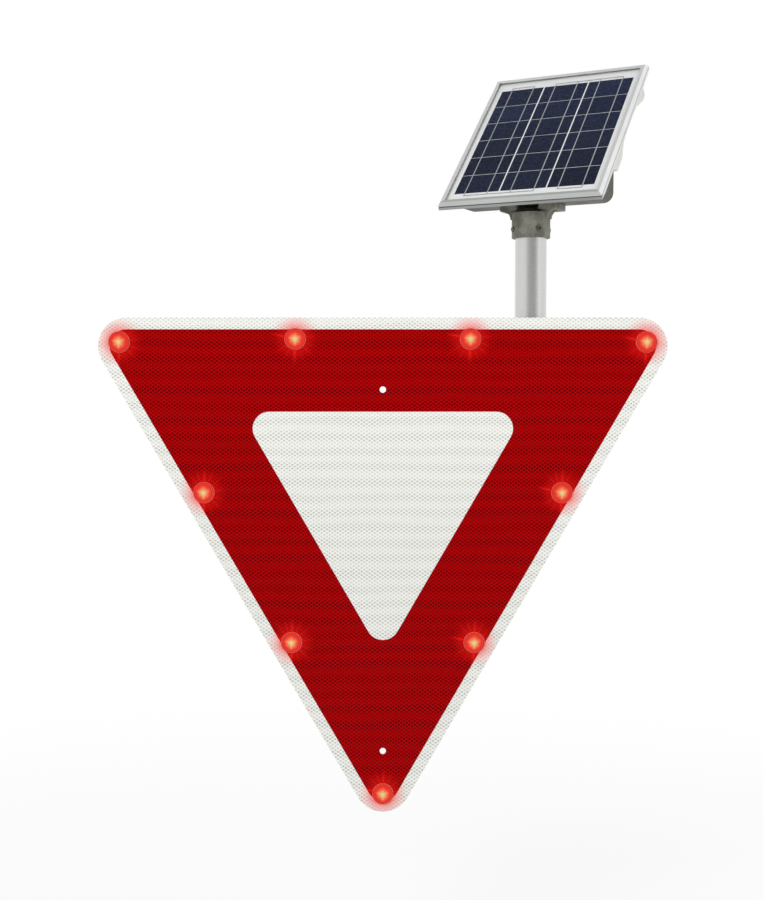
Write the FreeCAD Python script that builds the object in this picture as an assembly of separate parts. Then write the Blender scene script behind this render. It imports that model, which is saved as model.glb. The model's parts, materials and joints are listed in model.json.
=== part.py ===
import FreeCAD, Part
import math
import os
from FreeCAD import Vector, Placement, Rotation

# Give way sign with nine lamps in its border and a solar head on a short mast.
# Millimetres, +Z up. The face looks along -Y. The origin is on the back of the
# blade, midway between its two post bolts.

# Clearances
FIT_GAP = 0.2
SLIP_GAP = 0.3

# Blade and sheeting
SIGN_SIDE = 914.4
CORNER_R = 43.0
BLADE_T = 3.2
HOLE_SPACING = 548.0
HOLE_R = 4.76
TOP_TO_HOLE = 107.5
SHEET_T = 0.5
FILM_T = 0.15
BORDER_W = 17.5
BAND_W = 123.0
BAND_CORNER_R = 25.0
WINDOW_CORNER_R = 25.4

# Lamps in the border
LAMP_INSET = 32.0
LAMP_CORNER_INSET = 36.5
LAMP_TIP_INSET = 35.5
LAMP_HALF_PITCH = 131.0
LAMP_LIFT = 5.0
LENS_R = 16.0
LENS_H = 6.0
LENS_RING_R = 14.2
LENS_RING_W = 1.0
LENS_RING_H = 0.5
LENS_DOME_H = 3.3
LENS_RECESS = 1.8
LENS_EDGE = 0.8
LENS_SEAT_GAP = 0.1
LAMP_FLANGE_R = 15.3
LAMP_FLANGE_T = 1.2
LAMP_BODY_R = 11.0
LAMP_BODY_L = 20.0
LAMP_BORE_R = 9.2
LAMP_BORE_DEPTH = 4.0
LAMP_WIRE_R = 2.5
LAMP_BODY_CHAMFER = 2.0
LAMP_NUT_AF = 28.0
LAMP_NUT_T = 5.0
EMITTER_BOARD_T = 1.2
EMITTER_DOME_R = 2.6
EMITTER_BASE_W = 1.0
EMITTER_BASE_H = 1.0

# Mast and its fixing on the back of the blade
MAST_X = 224.3
MAST_OD = 47.6
MAST_WALL = 3.2
MAST_BELOW_PLATE = 22.0
PLUG_FLANGE_T = 3.0
PLUG_SPIGOT_L = 14.0
PLUG_WIRE_R = 5.0
PLUG_WALL = 2.5
TAPE_T = 1.0
TAPE_MARGIN = 4.0
MAST_PLATE_W = 100.0
MAST_PLATE_T = 5.0
MAST_PLATE_H = 214.0
MAST_PLATE_BELOW_TOP = 17.5
MAST_PLATE_CORNER_R = 6.0
STRAP_T = 2.5
STRAP_W = 30.0
STRAP_FOOT = 19.0
STRAP_END = 30.0
STUD_R = 3.0
STUD_HEAD_R = 5.0
STUD_HEAD_T = 1.5
STRAP_NUT_AF = 10.0
STRAP_NUT_T = 5.0
STUD_PROUD = 3.0

# Slip fitter on the mast
FITTER_ABOVE_SIGN = 121.0
COLLAR_H = 37.5
COLLAR_WALL = 4.9
COLLAR_CHAMFER = 0.8
SHOULDER_T = 4.0
SHOULDER_BORE_R = 18.0
NECK_H = 4.0
FLANGE_T = 8.5
FLANGE_W = 90.0
FLANGE_FRONT = -16.0
FLANGE_BACK = 30.0
FLANGE_CORNER_R = 3.0
NOTCH_W = 35.0
RIB_T = 22.0
RIB_R = 13.0
SET_SCREW_R = 4.0
SET_SCREW_Z = 13.0
SET_SCREW_PROUD = 2.2
SET_SCREW_SOCKET_AF = 4.0
SET_SCREW_SOCKET_L = 3.5
FITTER_BOLT_R = 3.0
FITTER_BOLT_AF = 10.0
FITTER_BOLT_HEAD_H = 4.0
FITTER_BOLT_SHORT = 0.5
FITTER_BOLT_U = 36.0
FITTER_BOLT_W = (2.0, 18.0)
HEAD_YAW = 27.4

# Battery box under the panel
BOX_W = 238.0
BOX_FRONT = -13.0
BOX_DEPTH = 43.0
BOX_FRONT_H = 5.5
BOX_R = 15.0
BOX_WALL = 3.0
BOX_FLOOR_T = 4.0
RIM_W = 10.0
RIM_T = 3.0
RIM_CORNER_R = 6.0
GASKET_T = 1.5
BOSS_R = 4.5
BOSS_L = 8.0
PLATE_SCREW_R = 2.0
PLATE_SCREW_HEAD_R = 4.0
PLATE_SCREW_L = 8.0
PLATE_SCREW_SHORT = 2.0
PLATE_SCREW_EDGE = 5.5
PLATE_SCREW_FRONT_EDGE = 6.5
PLATE_SCREW_BACK_EDGE = 7.5
PLATE_SCREW_MID_U = 58.0
PLATE_SCREW_SOCKET_AF = 2.5
PLATE_SCREW_SOCKET_L = 1.3
WIRE_HOLE_R = 7.5
WIRE_HOLE_W = 3.5
GROMMET_LIP = 2.5
GROMMET_LIP_T = 1.6
GROMMET_BORE_R = 5.0
CELL_PACK_R = 9.6
CELL_PACK_L = 96.0
CELL_PACK_END_GAP = 8.0
CELL_PACK_BACK_GAP = 1.8
CELL_JOINT_HALF = 0.6
CELL_JOINT_DEPTH = 0.8
CELL_PACK_LIFT = 6.0
CELL_PACK_COUNT = 2
CRADLE_T = 5.0
CRADLE_FROM_END = 12.0
CRADLE_FROM_BOLT = 11.0
CRADLE_LEDGE = 2.0
BOARD_SIDE_GAP = 5.5
BOARD_W = 47.0
BOARD_D = 24.0
BOARD_BACK_GAP = 5.0
BOARD_T = 1.6
BOARD_LIFT = 5.0
BOARD_POST_R = 3.0
BOARD_POST_INSET = 4.0
TERMINAL_INSET = 8.0
TERMINAL_BACK_GAP = 2.0
TERMINAL_D = 8.0
TERMINAL_H = 10.0
COIL_INSET = 16.0
COIL_R = 4.5
COIL_H = 6.0
CAPACITOR_INSET = 13.0
CAPACITOR_R = 4.0
CAPACITOR_H = 9.0

# Mount plate and the rails that carry the panel
TILT = 45.0
PLATE_T = 3.0
PLATE_OVERHANG = 1.0
TONGUE_W = 120.0
TONGUE_PAST_RAIL = 13.0
TONGUE_FILLET = 8.0
TONGUE_FOLD_START = 14.0
TONGUE_FOLD = 12.0
RAIL_DEPTH = 15.0
RAIL_FLANGE = 10.0
RAIL_T = 2.0
RAIL_END_INSET = 0.5
LOWER_RAIL_S = 101.0
LOWER_CROWN = 30.0
LOWER_RAMP = 26.0
LOWER_LEAN = 12.0
LOWER_BOLT_SHIFT = 4.0
UPPER_RAIL_FROM_TOP = 56.0
UPPER_CROWN = 16.0
UPPER_RAMP = 36.0
UPPER_LEAN = 0.0
UPPER_BOLT_SHIFT = -1.0
RAIL_BOLT_R = 3.0
RAIL_BOLT_U = 45.0
RAIL_BOLT_AF = 10.0
RAIL_BOLT_HEAD_H = 4.0
RAIL_NUT_T = 5.0
RAIL_BOLT_PROUD = 1.5
FRAME_BOLT_R = 2.5
FRAME_BOLT_INSET = 10.0
FRAME_BOLT_AF = 8.0
FRAME_BOLT_HEAD_H = 2.4
FRAME_NUT_T = 4.0
FRAME_BOLT_PROUD = 1.0
GLAND_R = 6.0
GLAND_AF = 15.0
GLAND_U = 42.0
GLAND_S = 53.5
GLAND_BORE_R = 3.0
GLAND_STEM_PROUD = 3.0
GLAND_HEX_T = 5.0
GLAND_CAP_R = 6.8
GLAND_CAP_H = 7.0
GLAND_CAP_SIDE = 4.0
GLAND_CAP_TOP_R = 4.5

# Panel
PANEL_W = 258.0
PANEL_H = 330.0
PANEL_S_TO_BOX = 36.0
FRAME_DEPTH = 12.0
FRAME_BEVEL_W = 4.0
FRAME_BEVEL_H = 5.0
FRAME_LIP_W = 5.5
FRAME_WALL = 1.6
FRAME_POCKET = 4.6
FRAME_SHELF_W = 12.0
SHELF_T = 1.4
FRAME_FLANGE_W = 18.0
GROOVE_DEPTH = 1.0
GROOVE_W = 2.0
GROOVE_LAND = 0.4
GROOVE_DRAFT = 0.3
GLASS_T = 3.2
RIBBON_T = 0.15
CELL_T = 0.25
BACKSHEET_T = 0.6
LAMINATE_GAP = 0.1
CELL_COLUMNS = 3
CELL_ROWS = 6
CELL_MARGIN_U = 16.95
CELL_MARGIN_S = 28.5
COLUMN_GAP = 2.4
ROW_GAP = 1.1
RIBBON_W = 1.6
CROSS_RIBBON_W = 2.0
CROSS_RIBBON_OFFSET = 5.0
KEY_LEG = 34.0
KEY_W = 9.0
JUNCTION_W = 64.0
JUNCTION_H = 48.0
JUNCTION_T = 12.0
JUNCTION_LID_T = 2.0
JUNCTION_WALL = 2.0
JUNCTION_OUTLET_R = 4.5
JUNCTION_OUTLET_L = 7.0
JUNCTION_BORE_R = 2.5
JUNCTION_CORNER_R = 4.0

# Sizes that follow from the ones above
ROOT3 = math.sqrt(3.0)
TOP_Z = HOLE_SPACING / 2 + TOP_TO_HOLE
SHEET_Y = -BLADE_T - SHEET_T
FACE_Y = SHEET_Y - FILM_T
LAMP_HOLE_R = LAMP_BODY_R + FIT_GAP
MAST_R = MAST_OD / 2
MAST_PLATE_TOP = TOP_Z - MAST_PLATE_BELOW_TOP
MAST_PLATE_BOTTOM = MAST_PLATE_TOP - MAST_PLATE_H
MAST_BOTTOM = MAST_PLATE_BOTTOM - MAST_BELOW_PLATE
FITTER_BOTTOM = TOP_Z + FITTER_ABOVE_SIGN
PLATE_BACK_Y = TAPE_T + MAST_PLATE_T
MAST_Y = PLATE_BACK_Y + FIT_GAP + MAST_R
STRAP_IN_R = MAST_R + FIT_GAP
STRAP_OUT_R = STRAP_IN_R + STRAP_T
STUD_X = STRAP_OUT_R + STRAP_FOOT / 2
COLLAR_R = MAST_R + SLIP_GAP + COLLAR_WALL
COLLAR_TOP = FITTER_BOTTOM + COLLAR_H
MAST_TOP = COLLAR_TOP - SHOULDER_T
FLANGE_BOTTOM = COLLAR_TOP + NECK_H
BOX_BOTTOM = FLANGE_BOTTOM + FLANGE_T
FLOOR_TOP = BOX_BOTTOM + BOX_FLOOR_T
BOX_BACK = BOX_FRONT + BOX_DEPTH
BOARD_BACK = BOX_BACK - BOX_WALL - BOARD_BACK_GAP
BOARD_U = BOX_W / 2 - BOX_WALL - BOARD_SIDE_GAP - BOARD_W
SIN_T = math.sin(math.radians(TILT))
COS_T = math.cos(math.radians(TILT))
FRAME_BACK_N = -FRAME_DEPTH
PLATE_TOP_N = FRAME_BACK_N - RAIL_DEPTH
PLATE_BOTTOM_N = PLATE_TOP_N - PLATE_T
RIM_N = PLATE_BOTTOM_N - GASKET_T
SLOPE_W = BOX_FRONT - PANEL_S_TO_BOX * COS_T + RIM_N * SIN_T
SLOPE_Z = BOX_BOTTOM + BOX_FRONT_H - PANEL_S_TO_BOX * SIN_T - RIM_N * COS_T
BOX_S0 = PANEL_S_TO_BOX
BOX_S1 = BOX_S0 + BOX_DEPTH / COS_T
GLASS_TOP_N = -FRAME_WALL - LAMINATE_GAP
GLASS_BACK_N = GLASS_TOP_N - GLASS_T
RIBBON_BACK_N = GLASS_BACK_N - RIBBON_T
CELL_BACK_N = RIBBON_BACK_N - CELL_T
SHEET_BACK_N = CELL_BACK_N - BACKSHEET_T
SHELF_N = SHEET_BACK_N - LAMINATE_GAP
PACK_U = -BOX_W / 2 + BOX_WALL + CELL_PACK_END_GAP
PACK_W = BOX_BACK - BOX_WALL - CELL_PACK_BACK_GAP - CELL_PACK_R
CELL_PITCH_U = (PANEL_W - 2 * CELL_MARGIN_U) / CELL_COLUMNS
CELL_PITCH_S = (PANEL_H - 2 * CELL_MARGIN_S) / CELL_ROWS
UPPER_RAIL_S = PANEL_H - UPPER_RAIL_FROM_TOP
TONGUE_TOP = UPPER_RAIL_S + TONGUE_PAST_RAIL
LOWER_TOE = LOWER_RAIL_S + LOWER_CROWN / 2 + LOWER_RAMP
UPPER_TOE = UPPER_RAIL_S - UPPER_CROWN / 2 - UPPER_RAMP
JUNCTION_S = (LOWER_TOE + UPPER_TOE) / 2
PACK_Z = FLOOR_TOP + CELL_PACK_LIFT + CELL_PACK_R
FAR = 600.0

HEAD = Placement(Vector(MAST_X, MAST_Y, 0), Rotation(Vector(0, 0, 1), -HEAD_YAW))
SLOPE = HEAD.multiply(Placement(Vector(0, SLOPE_W, SLOPE_Z), Rotation(Vector(1, 0, 0), TILT)))


def point(axis, level, a, b):
    """A point at a level along one axis, from its two other coordinates in X, Y, Z order."""
    return {"x": Vector(level, a, b), "y": Vector(a, level, b), "z": Vector(a, b, level)}[axis]


def prism(points, axis, start, end):
    """A straight-sided solid: a closed outline of straight lines, drawn out along one axis."""
    corners = [point(axis, start, a, b) for a, b in points]
    face = Part.Face(Part.makePolygon(corners + corners[:1]))
    return face.extrude(point(axis, end, 0, 0) - point(axis, start, 0, 0))


def box(x0, x1, y0, y1, z0, z1):
    return Part.makeBox(x1 - x0, y1 - y0, z1 - z0, Vector(x0, y0, z0))


def rounded_bar(axis, start, end, a0, a1, b0, b1, radius):
    """A bar of rounded rectangular section, drawn out along one axis."""
    r = max(min(radius, (a1 - a0) / 2 - 0.01, (b1 - b0) / 2 - 0.01), 0.05)
    k = r * (1 - math.sqrt(0.5))
    corners = (
        ((a0 + r, b0), (a1 - r, b0), (a1 - k, b0 + k), (a1, b0 + r)),
        ((a1, b0 + r), (a1, b1 - r), (a1 - k, b1 - k), (a1 - r, b1)),
        ((a1 - r, b1), (a0 + r, b1), (a0 + k, b1 - k), (a0, b1 - r)),
        ((a0, b1 - r), (a0, b0 + r), (a0 + k, b0 + k), (a0 + r, b0)),
    )
    edges = []
    for line_from, line_to, middle, arc_to in corners:
        p, q, m, e = (point(axis, start, *c) for c in (line_from, line_to, middle, arc_to))
        edges += [Part.LineSegment(p, q).toShape(), Part.Arc(q, m, e).toShape()]
    face = Part.Face(Part.Wire(edges))
    return face.extrude(point(axis, end, 0, 0) - point(axis, start, 0, 0))


def rod(axis, start, end, a, b, radius):
    """A round bar along one axis."""
    direction = point(axis, 1, 0, 0)
    return Part.makeCylinder(radius, end - start, point(axis, start, a, b), direction)


def hexagon(across_flats, start, end):
    """A six-sided bar along Z."""
    r = across_flats / ROOT3
    corners = [(r * math.cos(math.radians(60 * i)), r * math.sin(math.radians(60 * i))) for i in range(6)]
    return prism(corners, "z", start, end)


def turned(points):
    """A solid of revolution about Z from (radius, height) points; a triple (mid, end) makes an arc."""
    edges = []
    here = None
    first = None
    for item in points:
        if len(item) == 3:
            middle, end = Vector(item[0][0], 0, item[0][1]), Vector(item[1][0], 0, item[1][1])
            edges.append(Part.Arc(here, middle, end).toShape())
        else:
            end = Vector(item[0], 0, item[1])
            if here is not None:
                edges.append(Part.LineSegment(here, end).toShape())
        first = end if first is None else first
        here = end
    if (here - first).Length > 1e-6:
        edges.append(Part.LineSegment(here, first).toShape())
    return Part.Face(Part.Wire(edges)).revolve(Vector(0, 0, 0), Vector(0, 0, 1), 360)


def moved(shape, placement):
    copy = shape.copy()
    copy.Placement = placement.multiply(copy.Placement)
    return copy


def at(shape, x, y, z, direction=None):
    """A copy of a piece with its own +Z turned to a direction and its origin at a point."""
    turn = Rotation(Vector(0, 0, 1), direction) if direction else Rotation()
    return moved(shape, Placement(Vector(x, y, z), turn))


def joined(first, *others):
    return first.multiFuse(list(others)).removeSplitter()


def bolt(radius, across_flats, head_h, length):
    """A hexagon bolt along +Z with the seat of its head at the origin."""
    return joined(hexagon(across_flats, -head_h, 0), Part.makeCylinder(radius, length))


def nut(radius, across_flats, height):
    """A hexagon nut along +Z with its seat at the origin."""
    return hexagon(across_flats, 0, height).cut(rod("z", -1, height + 1, 0, 0, radius + FIT_GAP))


# Sign face

def triangle(inset, radius, y0, y1):
    """A point-down rounded triangle, this far inside the sharp outline of the blade."""
    half = SIGN_SIDE / 2 - ROOT3 * inset
    top = TOP_Z - inset
    corners = ((-half, top, 150), (0.0, top - half * ROOT3, 270), (half, top, 30))
    arcs = []
    for x, z, angle in corners:
        ways = [math.radians(angle + turn) for turn in (-60, 0, 60)]
        first, out, last = (Vector(math.cos(way), 0, math.sin(way)) * radius for way in ways)
        centre = Vector(x, y0, z) - out * 2
        arcs.append((centre + first, centre + out, centre + last))
    edges = []
    for i, (first, middle, last) in enumerate(arcs):
        edges.append(Part.Arc(first, middle, last).toShape())
        edges.append(Part.LineSegment(last, arcs[(i + 1) % 3][0]).toShape())
    return Part.Face(Part.Wire(edges)).extrude(Vector(0, y1 - y0, 0))


def lamp_places():
    """Lamp centres: two along each side, and one in each corner."""
    half = SIGN_SIDE / 2
    tip = TOP_Z - half * ROOT3
    along = LAMP_HALF_PITCH
    slant_x = half / 2 - LAMP_INSET * ROOT3 / 2
    slant_z = (TOP_Z + tip) / 2 + LAMP_INSET / 2
    corner_x = half - LAMP_CORNER_INSET * ROOT3
    places = [(-corner_x, TOP_Z - LAMP_CORNER_INSET)]
    places += [(-along, TOP_Z - LAMP_INSET), (along, TOP_Z - LAMP_INSET)]
    places += [(corner_x, TOP_Z - LAMP_CORNER_INSET)]
    for step in (along + LAMP_LIFT, LAMP_LIFT - along):
        x = slant_x + step / 2
        z = slant_z + step * ROOT3 / 2
        places += [(-x, z), (x, z)]
    places.append((0.0, tip + 2 * LAMP_TIP_INSET))
    return places


def holes(places, radius):
    reach = 30.0
    return [rod("y", -reach, reach, x, z, radius) for x, z in places]


def face_holes():
    post = [(0.0, HOLE_SPACING / 2), (0.0, -HOLE_SPACING / 2)]
    return holes(post, HOLE_R) + holes(lamp_places(), LAMP_HOLE_R)


def blade():
    return triangle(0.0, CORNER_R, -BLADE_T, 0.0).cut(face_holes())


def white_sheeting():
    return triangle(0.0, CORNER_R, SHEET_Y, -BLADE_T).cut(face_holes())


def red_overlay():
    band = triangle(BORDER_W, BAND_CORNER_R, FACE_Y, SHEET_Y)
    window = triangle(BORDER_W + BAND_W, WINDOW_CORNER_R, FACE_Y - 1, SHEET_Y + 1)
    return band.cut([window] + face_holes())


# Lamps

def cap_middle(radius, low, high):
    """The half-way point of the arc of a dome from its rim to its crown on the axis."""
    rise = high - low
    sphere = (radius ** 2 + rise ** 2) / (2 * rise)
    half = math.atan2(radius, sphere - rise) / 2
    return sphere * math.sin(half), high - sphere + sphere * math.cos(half)


def lens():
    """The red cap: a skirt round the body's flange, a raised ring, a low dome and a flat recess behind."""
    seat = LAMP_FLANGE_T
    ring_in = LENS_RING_R - LENS_RING_W
    shoulder = LENS_H - LENS_DOME_H
    recess_r = LAMP_BORE_R + FIT_GAP
    ceiling = seat + LENS_RECESS
    return turned([
        (0.0, ceiling), (recess_r, ceiling), (recess_r, seat),
        (LAMP_FLANGE_R + FIT_GAP, seat), (LAMP_FLANGE_R + FIT_GAP, LENS_SEAT_GAP), (LENS_R, LENS_SEAT_GAP),
        (LENS_R, shoulder - LENS_EDGE), (LENS_R - LENS_EDGE, shoulder), (LENS_RING_R, shoulder),
        (LENS_RING_R, shoulder + LENS_RING_H), (ring_in, shoulder + LENS_RING_H), (ring_in, shoulder),
        (cap_middle(ring_in, shoulder, LENS_H), (0.0, LENS_H), None),
    ])


def lamp_body():
    """The barrel that passes through the blade, with a flange in front and a wire hole behind."""
    flange = LAMP_FLANGE_T
    chamfer = LAMP_BODY_CHAMFER
    return turned([
        (LAMP_WIRE_R, -LAMP_BORE_DEPTH), (LAMP_WIRE_R, -LAMP_BODY_L), (LAMP_BODY_R - chamfer, -LAMP_BODY_L),
        (LAMP_BODY_R, -LAMP_BODY_L + chamfer), (LAMP_BODY_R, 0), (LAMP_FLANGE_R, 0), (LAMP_FLANGE_R, flange),
        (LAMP_BORE_R, flange), (LAMP_BORE_R, -LAMP_BORE_DEPTH),
    ])


def emitter():
    """The round board of a lamp with its light source and clear dome."""
    floor = -LAMP_BORE_DEPTH
    top = floor + EMITTER_BOARD_T
    base_r = EMITTER_DOME_R + EMITTER_BASE_W
    base_top = top + EMITTER_BASE_H
    k = math.sqrt(0.5) * EMITTER_DOME_R
    return turned([
        (0.0, floor), (LAMP_BORE_R - FIT_GAP, floor), (LAMP_BORE_R - FIT_GAP, top), (base_r, top),
        (base_r, base_top), (EMITTER_DOME_R, base_top), ((k, base_top + k), (0.0, base_top + EMITTER_DOME_R), None),
    ])


def on_lamps(piece, y):
    front = Vector(0, -1, 0)
    return [at(piece, x, y, z, front) for x, z in lamp_places()]


def lamp_nuts():
    ring = nut(LAMP_BODY_R, LAMP_NUT_AF, LAMP_NUT_T)
    return Part.makeCompound([at(ring, x, 0, z, Vector(0, 1, 0)) for x, z in lamp_places()])


# Mast and its fixing

def mast():
    tube = rod("z", MAST_BOTTOM, MAST_TOP, MAST_X, MAST_Y, MAST_R)
    return tube.cut(rod("z", MAST_BOTTOM - 1, MAST_TOP + 1, MAST_X, MAST_Y, MAST_R - MAST_WALL))


def mast_plug():
    """The end plug of the mast, with a hole for the lamp wires."""
    spigot_r = MAST_R - MAST_WALL - FIT_GAP
    low = MAST_BOTTOM - PLUG_FLANGE_T
    high = MAST_BOTTOM + PLUG_SPIGOT_L
    flange = rod("z", low, MAST_BOTTOM, MAST_X, MAST_Y, MAST_R)
    spigot = rod("z", MAST_BOTTOM, high, MAST_X, MAST_Y, spigot_r)
    hollow = rod("z", MAST_BOTTOM, high + 1, MAST_X, MAST_Y, spigot_r - PLUG_WALL)
    wire = rod("z", low - 1, high, MAST_X, MAST_Y, PLUG_WIRE_R)
    return joined(flange, spigot).cut([hollow, wire])


def stud_places():
    """Stud centres: one each side of the mast for each strap."""
    heights = (MAST_PLATE_BOTTOM + STRAP_END, MAST_PLATE_TOP - STRAP_END)
    return [(MAST_X + side * STUD_X, z) for z in heights for side in (-1, 1)]


def mast_plate():
    half = MAST_PLATE_W / 2
    plate = rounded_bar("y", TAPE_T, PLATE_BACK_Y, MAST_X - half, MAST_X + half,
                        MAST_PLATE_BOTTOM, MAST_PLATE_TOP, MAST_PLATE_CORNER_R)
    cuts = [rod("y", 0, PLATE_BACK_Y + 1, x, z, STUD_R + FIT_GAP) for x, z in stud_places()]
    cuts += [rod("y", 0, TAPE_T + STUD_HEAD_T, x, z, STUD_HEAD_R + FIT_GAP) for x, z in stud_places()]
    return plate.cut(cuts)


def plate_tape():
    half = MAST_PLATE_W / 2 - TAPE_MARGIN
    return box(MAST_X - half, MAST_X + half, 0, TAPE_T,
               MAST_PLATE_BOTTOM + TAPE_MARGIN, MAST_PLATE_TOP - TAPE_MARGIN)


def strap(z):
    """A two-foot saddle round the mast."""
    low, high = z - STRAP_W / 2, z + STRAP_W / 2
    foot = STRAP_OUT_R + STRAP_FOOT
    solid = joined(
        rod("z", low, high, MAST_X, MAST_Y, STRAP_OUT_R),
        box(MAST_X - STRAP_OUT_R, MAST_X + STRAP_OUT_R, PLATE_BACK_Y, MAST_Y, low, high),
        box(MAST_X - foot, MAST_X + foot, PLATE_BACK_Y, PLATE_BACK_Y + STRAP_T, low, high),
    )
    cuts = [
        rod("z", low - 1, high + 1, MAST_X, MAST_Y, STRAP_IN_R),
        box(MAST_X - STRAP_IN_R, MAST_X + STRAP_IN_R, PLATE_BACK_Y - 1, MAST_Y, low - 1, high + 1),
        box(MAST_X - foot, MAST_X + foot, MAST_Y - foot, PLATE_BACK_Y, low - 1, high + 1),
    ]
    for side in (-1, 1):
        cuts.append(rod("y", 0, PLATE_BACK_Y + STRAP_T + 1, MAST_X + side * STUD_X, z, STUD_R + FIT_GAP))
    return solid.cut(cuts)


def strap_studs():
    length = MAST_PLATE_T + STRAP_T + STRAP_NUT_T + STUD_PROUD
    stud = joined(Part.makeCylinder(STUD_R, length), Part.makeCylinder(STUD_HEAD_R, STUD_HEAD_T))
    return Part.makeCompound([at(stud, x, TAPE_T, z, Vector(0, 1, 0)) for x, z in stud_places()])


def strap_nuts():
    piece = nut(STUD_R, STRAP_NUT_AF, STRAP_NUT_T)
    seat = PLATE_BACK_Y + STRAP_T
    return Part.makeCompound([at(piece, x, seat, z, Vector(0, 1, 0)) for x, z in stud_places()])


# Slip fitter, in the head's own frame: X to its right, Y to its back, Z up

def set_screw_angles():
    return [45.0 + 90.0 * i for i in range(4)]


def rib(side):
    """A web from the collar out to one wing of the flange, with a concave underside."""
    start_z = FLANGE_BOTTOM - RIB_R
    inner = SHOULDER_BORE_R + 2.0
    k = RIB_R * math.sqrt(0.5)
    corners = [(inner, start_z), (COLLAR_R, start_z), (COLLAR_R + RIB_R, FLANGE_BOTTOM),
               (COLLAR_R + RIB_R, FLANGE_BOTTOM + 1), (inner, FLANGE_BOTTOM + 1)]
    p = [Vector(side * u, -RIB_T / 2, z) for u, z in corners]
    middle = Vector(side * (COLLAR_R + RIB_R - k), -RIB_T / 2, start_z + k)
    edges = [Part.LineSegment(p[0], p[1]).toShape(), Part.Arc(p[1], middle, p[2]).toShape()]
    for i in (2, 3, 4):
        edges.append(Part.LineSegment(p[i], p[(i + 1) % 5]).toShape())
    return Part.Face(Part.Wire(edges)).extrude(Vector(0, RIB_T, 0))


def slip_fitter():
    """The casting: a collar for the mast and a winged flange for the battery box."""
    lead = FITTER_BOTTOM + COLLAR_CHAMFER
    collar = turned([(0, FITTER_BOTTOM), (COLLAR_R - COLLAR_CHAMFER, FITTER_BOTTOM), (COLLAR_R, lead),
                     (COLLAR_R, COLLAR_TOP), (0, COLLAR_TOP)])
    neck = rod("z", COLLAR_TOP - 1, FLANGE_BOTTOM + 1, 0, 0, COLLAR_R)
    neck = neck.common(box(-FAR, FAR, RIB_T / 2, FAR, 0, FAR + FITTER_BOTTOM))
    flange = rounded_bar("z", FLANGE_BOTTOM, BOX_BOTTOM, -FLANGE_W / 2, FLANGE_W / 2,
                         FLANGE_FRONT, FLANGE_BACK, FLANGE_CORNER_R)
    solid = joined(collar, neck, flange, rib(-1), rib(1))
    cuts = [
        rod("z", FITTER_BOTTOM - 1, MAST_TOP, 0, 0, MAST_R + SLIP_GAP),
        rod("z", MAST_TOP - 1, BOX_BOTTOM + 1, 0, 0, SHOULDER_BORE_R),
        box(-NOTCH_W / 2, NOTCH_W / 2, FLANGE_FRONT - 1, 0, FLANGE_BOTTOM, BOX_BOTTOM + 1),
    ]
    for angle in set_screw_angles():
        hole = Part.makeCylinder(SET_SCREW_R + FIT_GAP / 2, COLLAR_R + 2)
        way = Vector(math.cos(math.radians(angle)), math.sin(math.radians(angle)), 0)
        cuts.append(at(hole, 0, 0, FITTER_BOTTOM + SET_SCREW_Z, way))
    for u, w in fitter_bolt_places():
        cuts.append(rod("z", FLANGE_BOTTOM - RIB_R, BOX_BOTTOM + 1, u, w, FITTER_BOLT_R + FIT_GAP / 2))
    return solid.cut(cuts)


def set_screws():
    inner = MAST_R + SLIP_GAP
    length = COLLAR_R + SET_SCREW_PROUD - inner
    socket = hexagon(SET_SCREW_SOCKET_AF, length - SET_SCREW_SOCKET_L, length + 1)
    screw = Part.makeCylinder(SET_SCREW_R, length).cut(socket)
    pieces = []
    for angle in set_screw_angles():
        way = Vector(math.cos(math.radians(angle)), math.sin(math.radians(angle)), 0)
        start = way * inner
        pieces.append(at(screw, start.x, start.y, FITTER_BOTTOM + SET_SCREW_Z, way))
    return Part.makeCompound(pieces)


def fitter_bolt_places():
    return [(side * FITTER_BOLT_U, w) for w in FITTER_BOLT_W for side in (-1, 1)]


def fitter_bolts():
    piece = bolt(FITTER_BOLT_R, FITTER_BOLT_AF, FITTER_BOLT_HEAD_H, BOX_FLOOR_T + FLANGE_T - FITTER_BOLT_SHORT)
    return Part.makeCompound([at(piece, u, w, FLOOR_TOP, Vector(0, 0, -1)) for u, w in fitter_bolt_places()])


# Battery box. Slope pieces use the panel's frame: X to its right, Y up the slope, Z out of its face

def to_slope(shape):
    """Carries a piece drawn in the panel's frame into the head's frame."""
    return moved(shape, Placement(Vector(0, SLOPE_W, SLOPE_Z), Rotation(Vector(1, 0, 0), TILT)))


def slab(n0, n1, s0=-FAR, s1=FAR):
    return to_slope(box(-FAR, FAR, s0, s1, n0, n1))


def box_block():
    """The outside of the box before its sloping top is cut."""
    return rounded_bar("y", BOX_FRONT, BOX_BACK, -BOX_W / 2, BOX_W / 2, BOX_BOTTOM, BOX_BOTTOM + FAR / 2, BOX_R)


def rim_opening(n0, n1):
    half = BOX_W / 2 - RIM_W
    return to_slope(rounded_bar("z", n0, n1, -half, half, BOX_S0 + RIM_W, BOX_S1 - RIM_W, RIM_CORNER_R))


def plate_screw_places():
    """Countersunk screws round the rim, in the panel's frame."""
    edge = PLATE_SCREW_EDGE
    columns = (-BOX_W / 2 + edge, -PLATE_SCREW_MID_U, PLATE_SCREW_MID_U, BOX_W / 2 - edge)
    rows = (BOX_S0 + PLATE_SCREW_FRONT_EDGE, BOX_S1 - PLATE_SCREW_BACK_EDGE)
    return [(u, s) for s in rows for u in columns]


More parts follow.
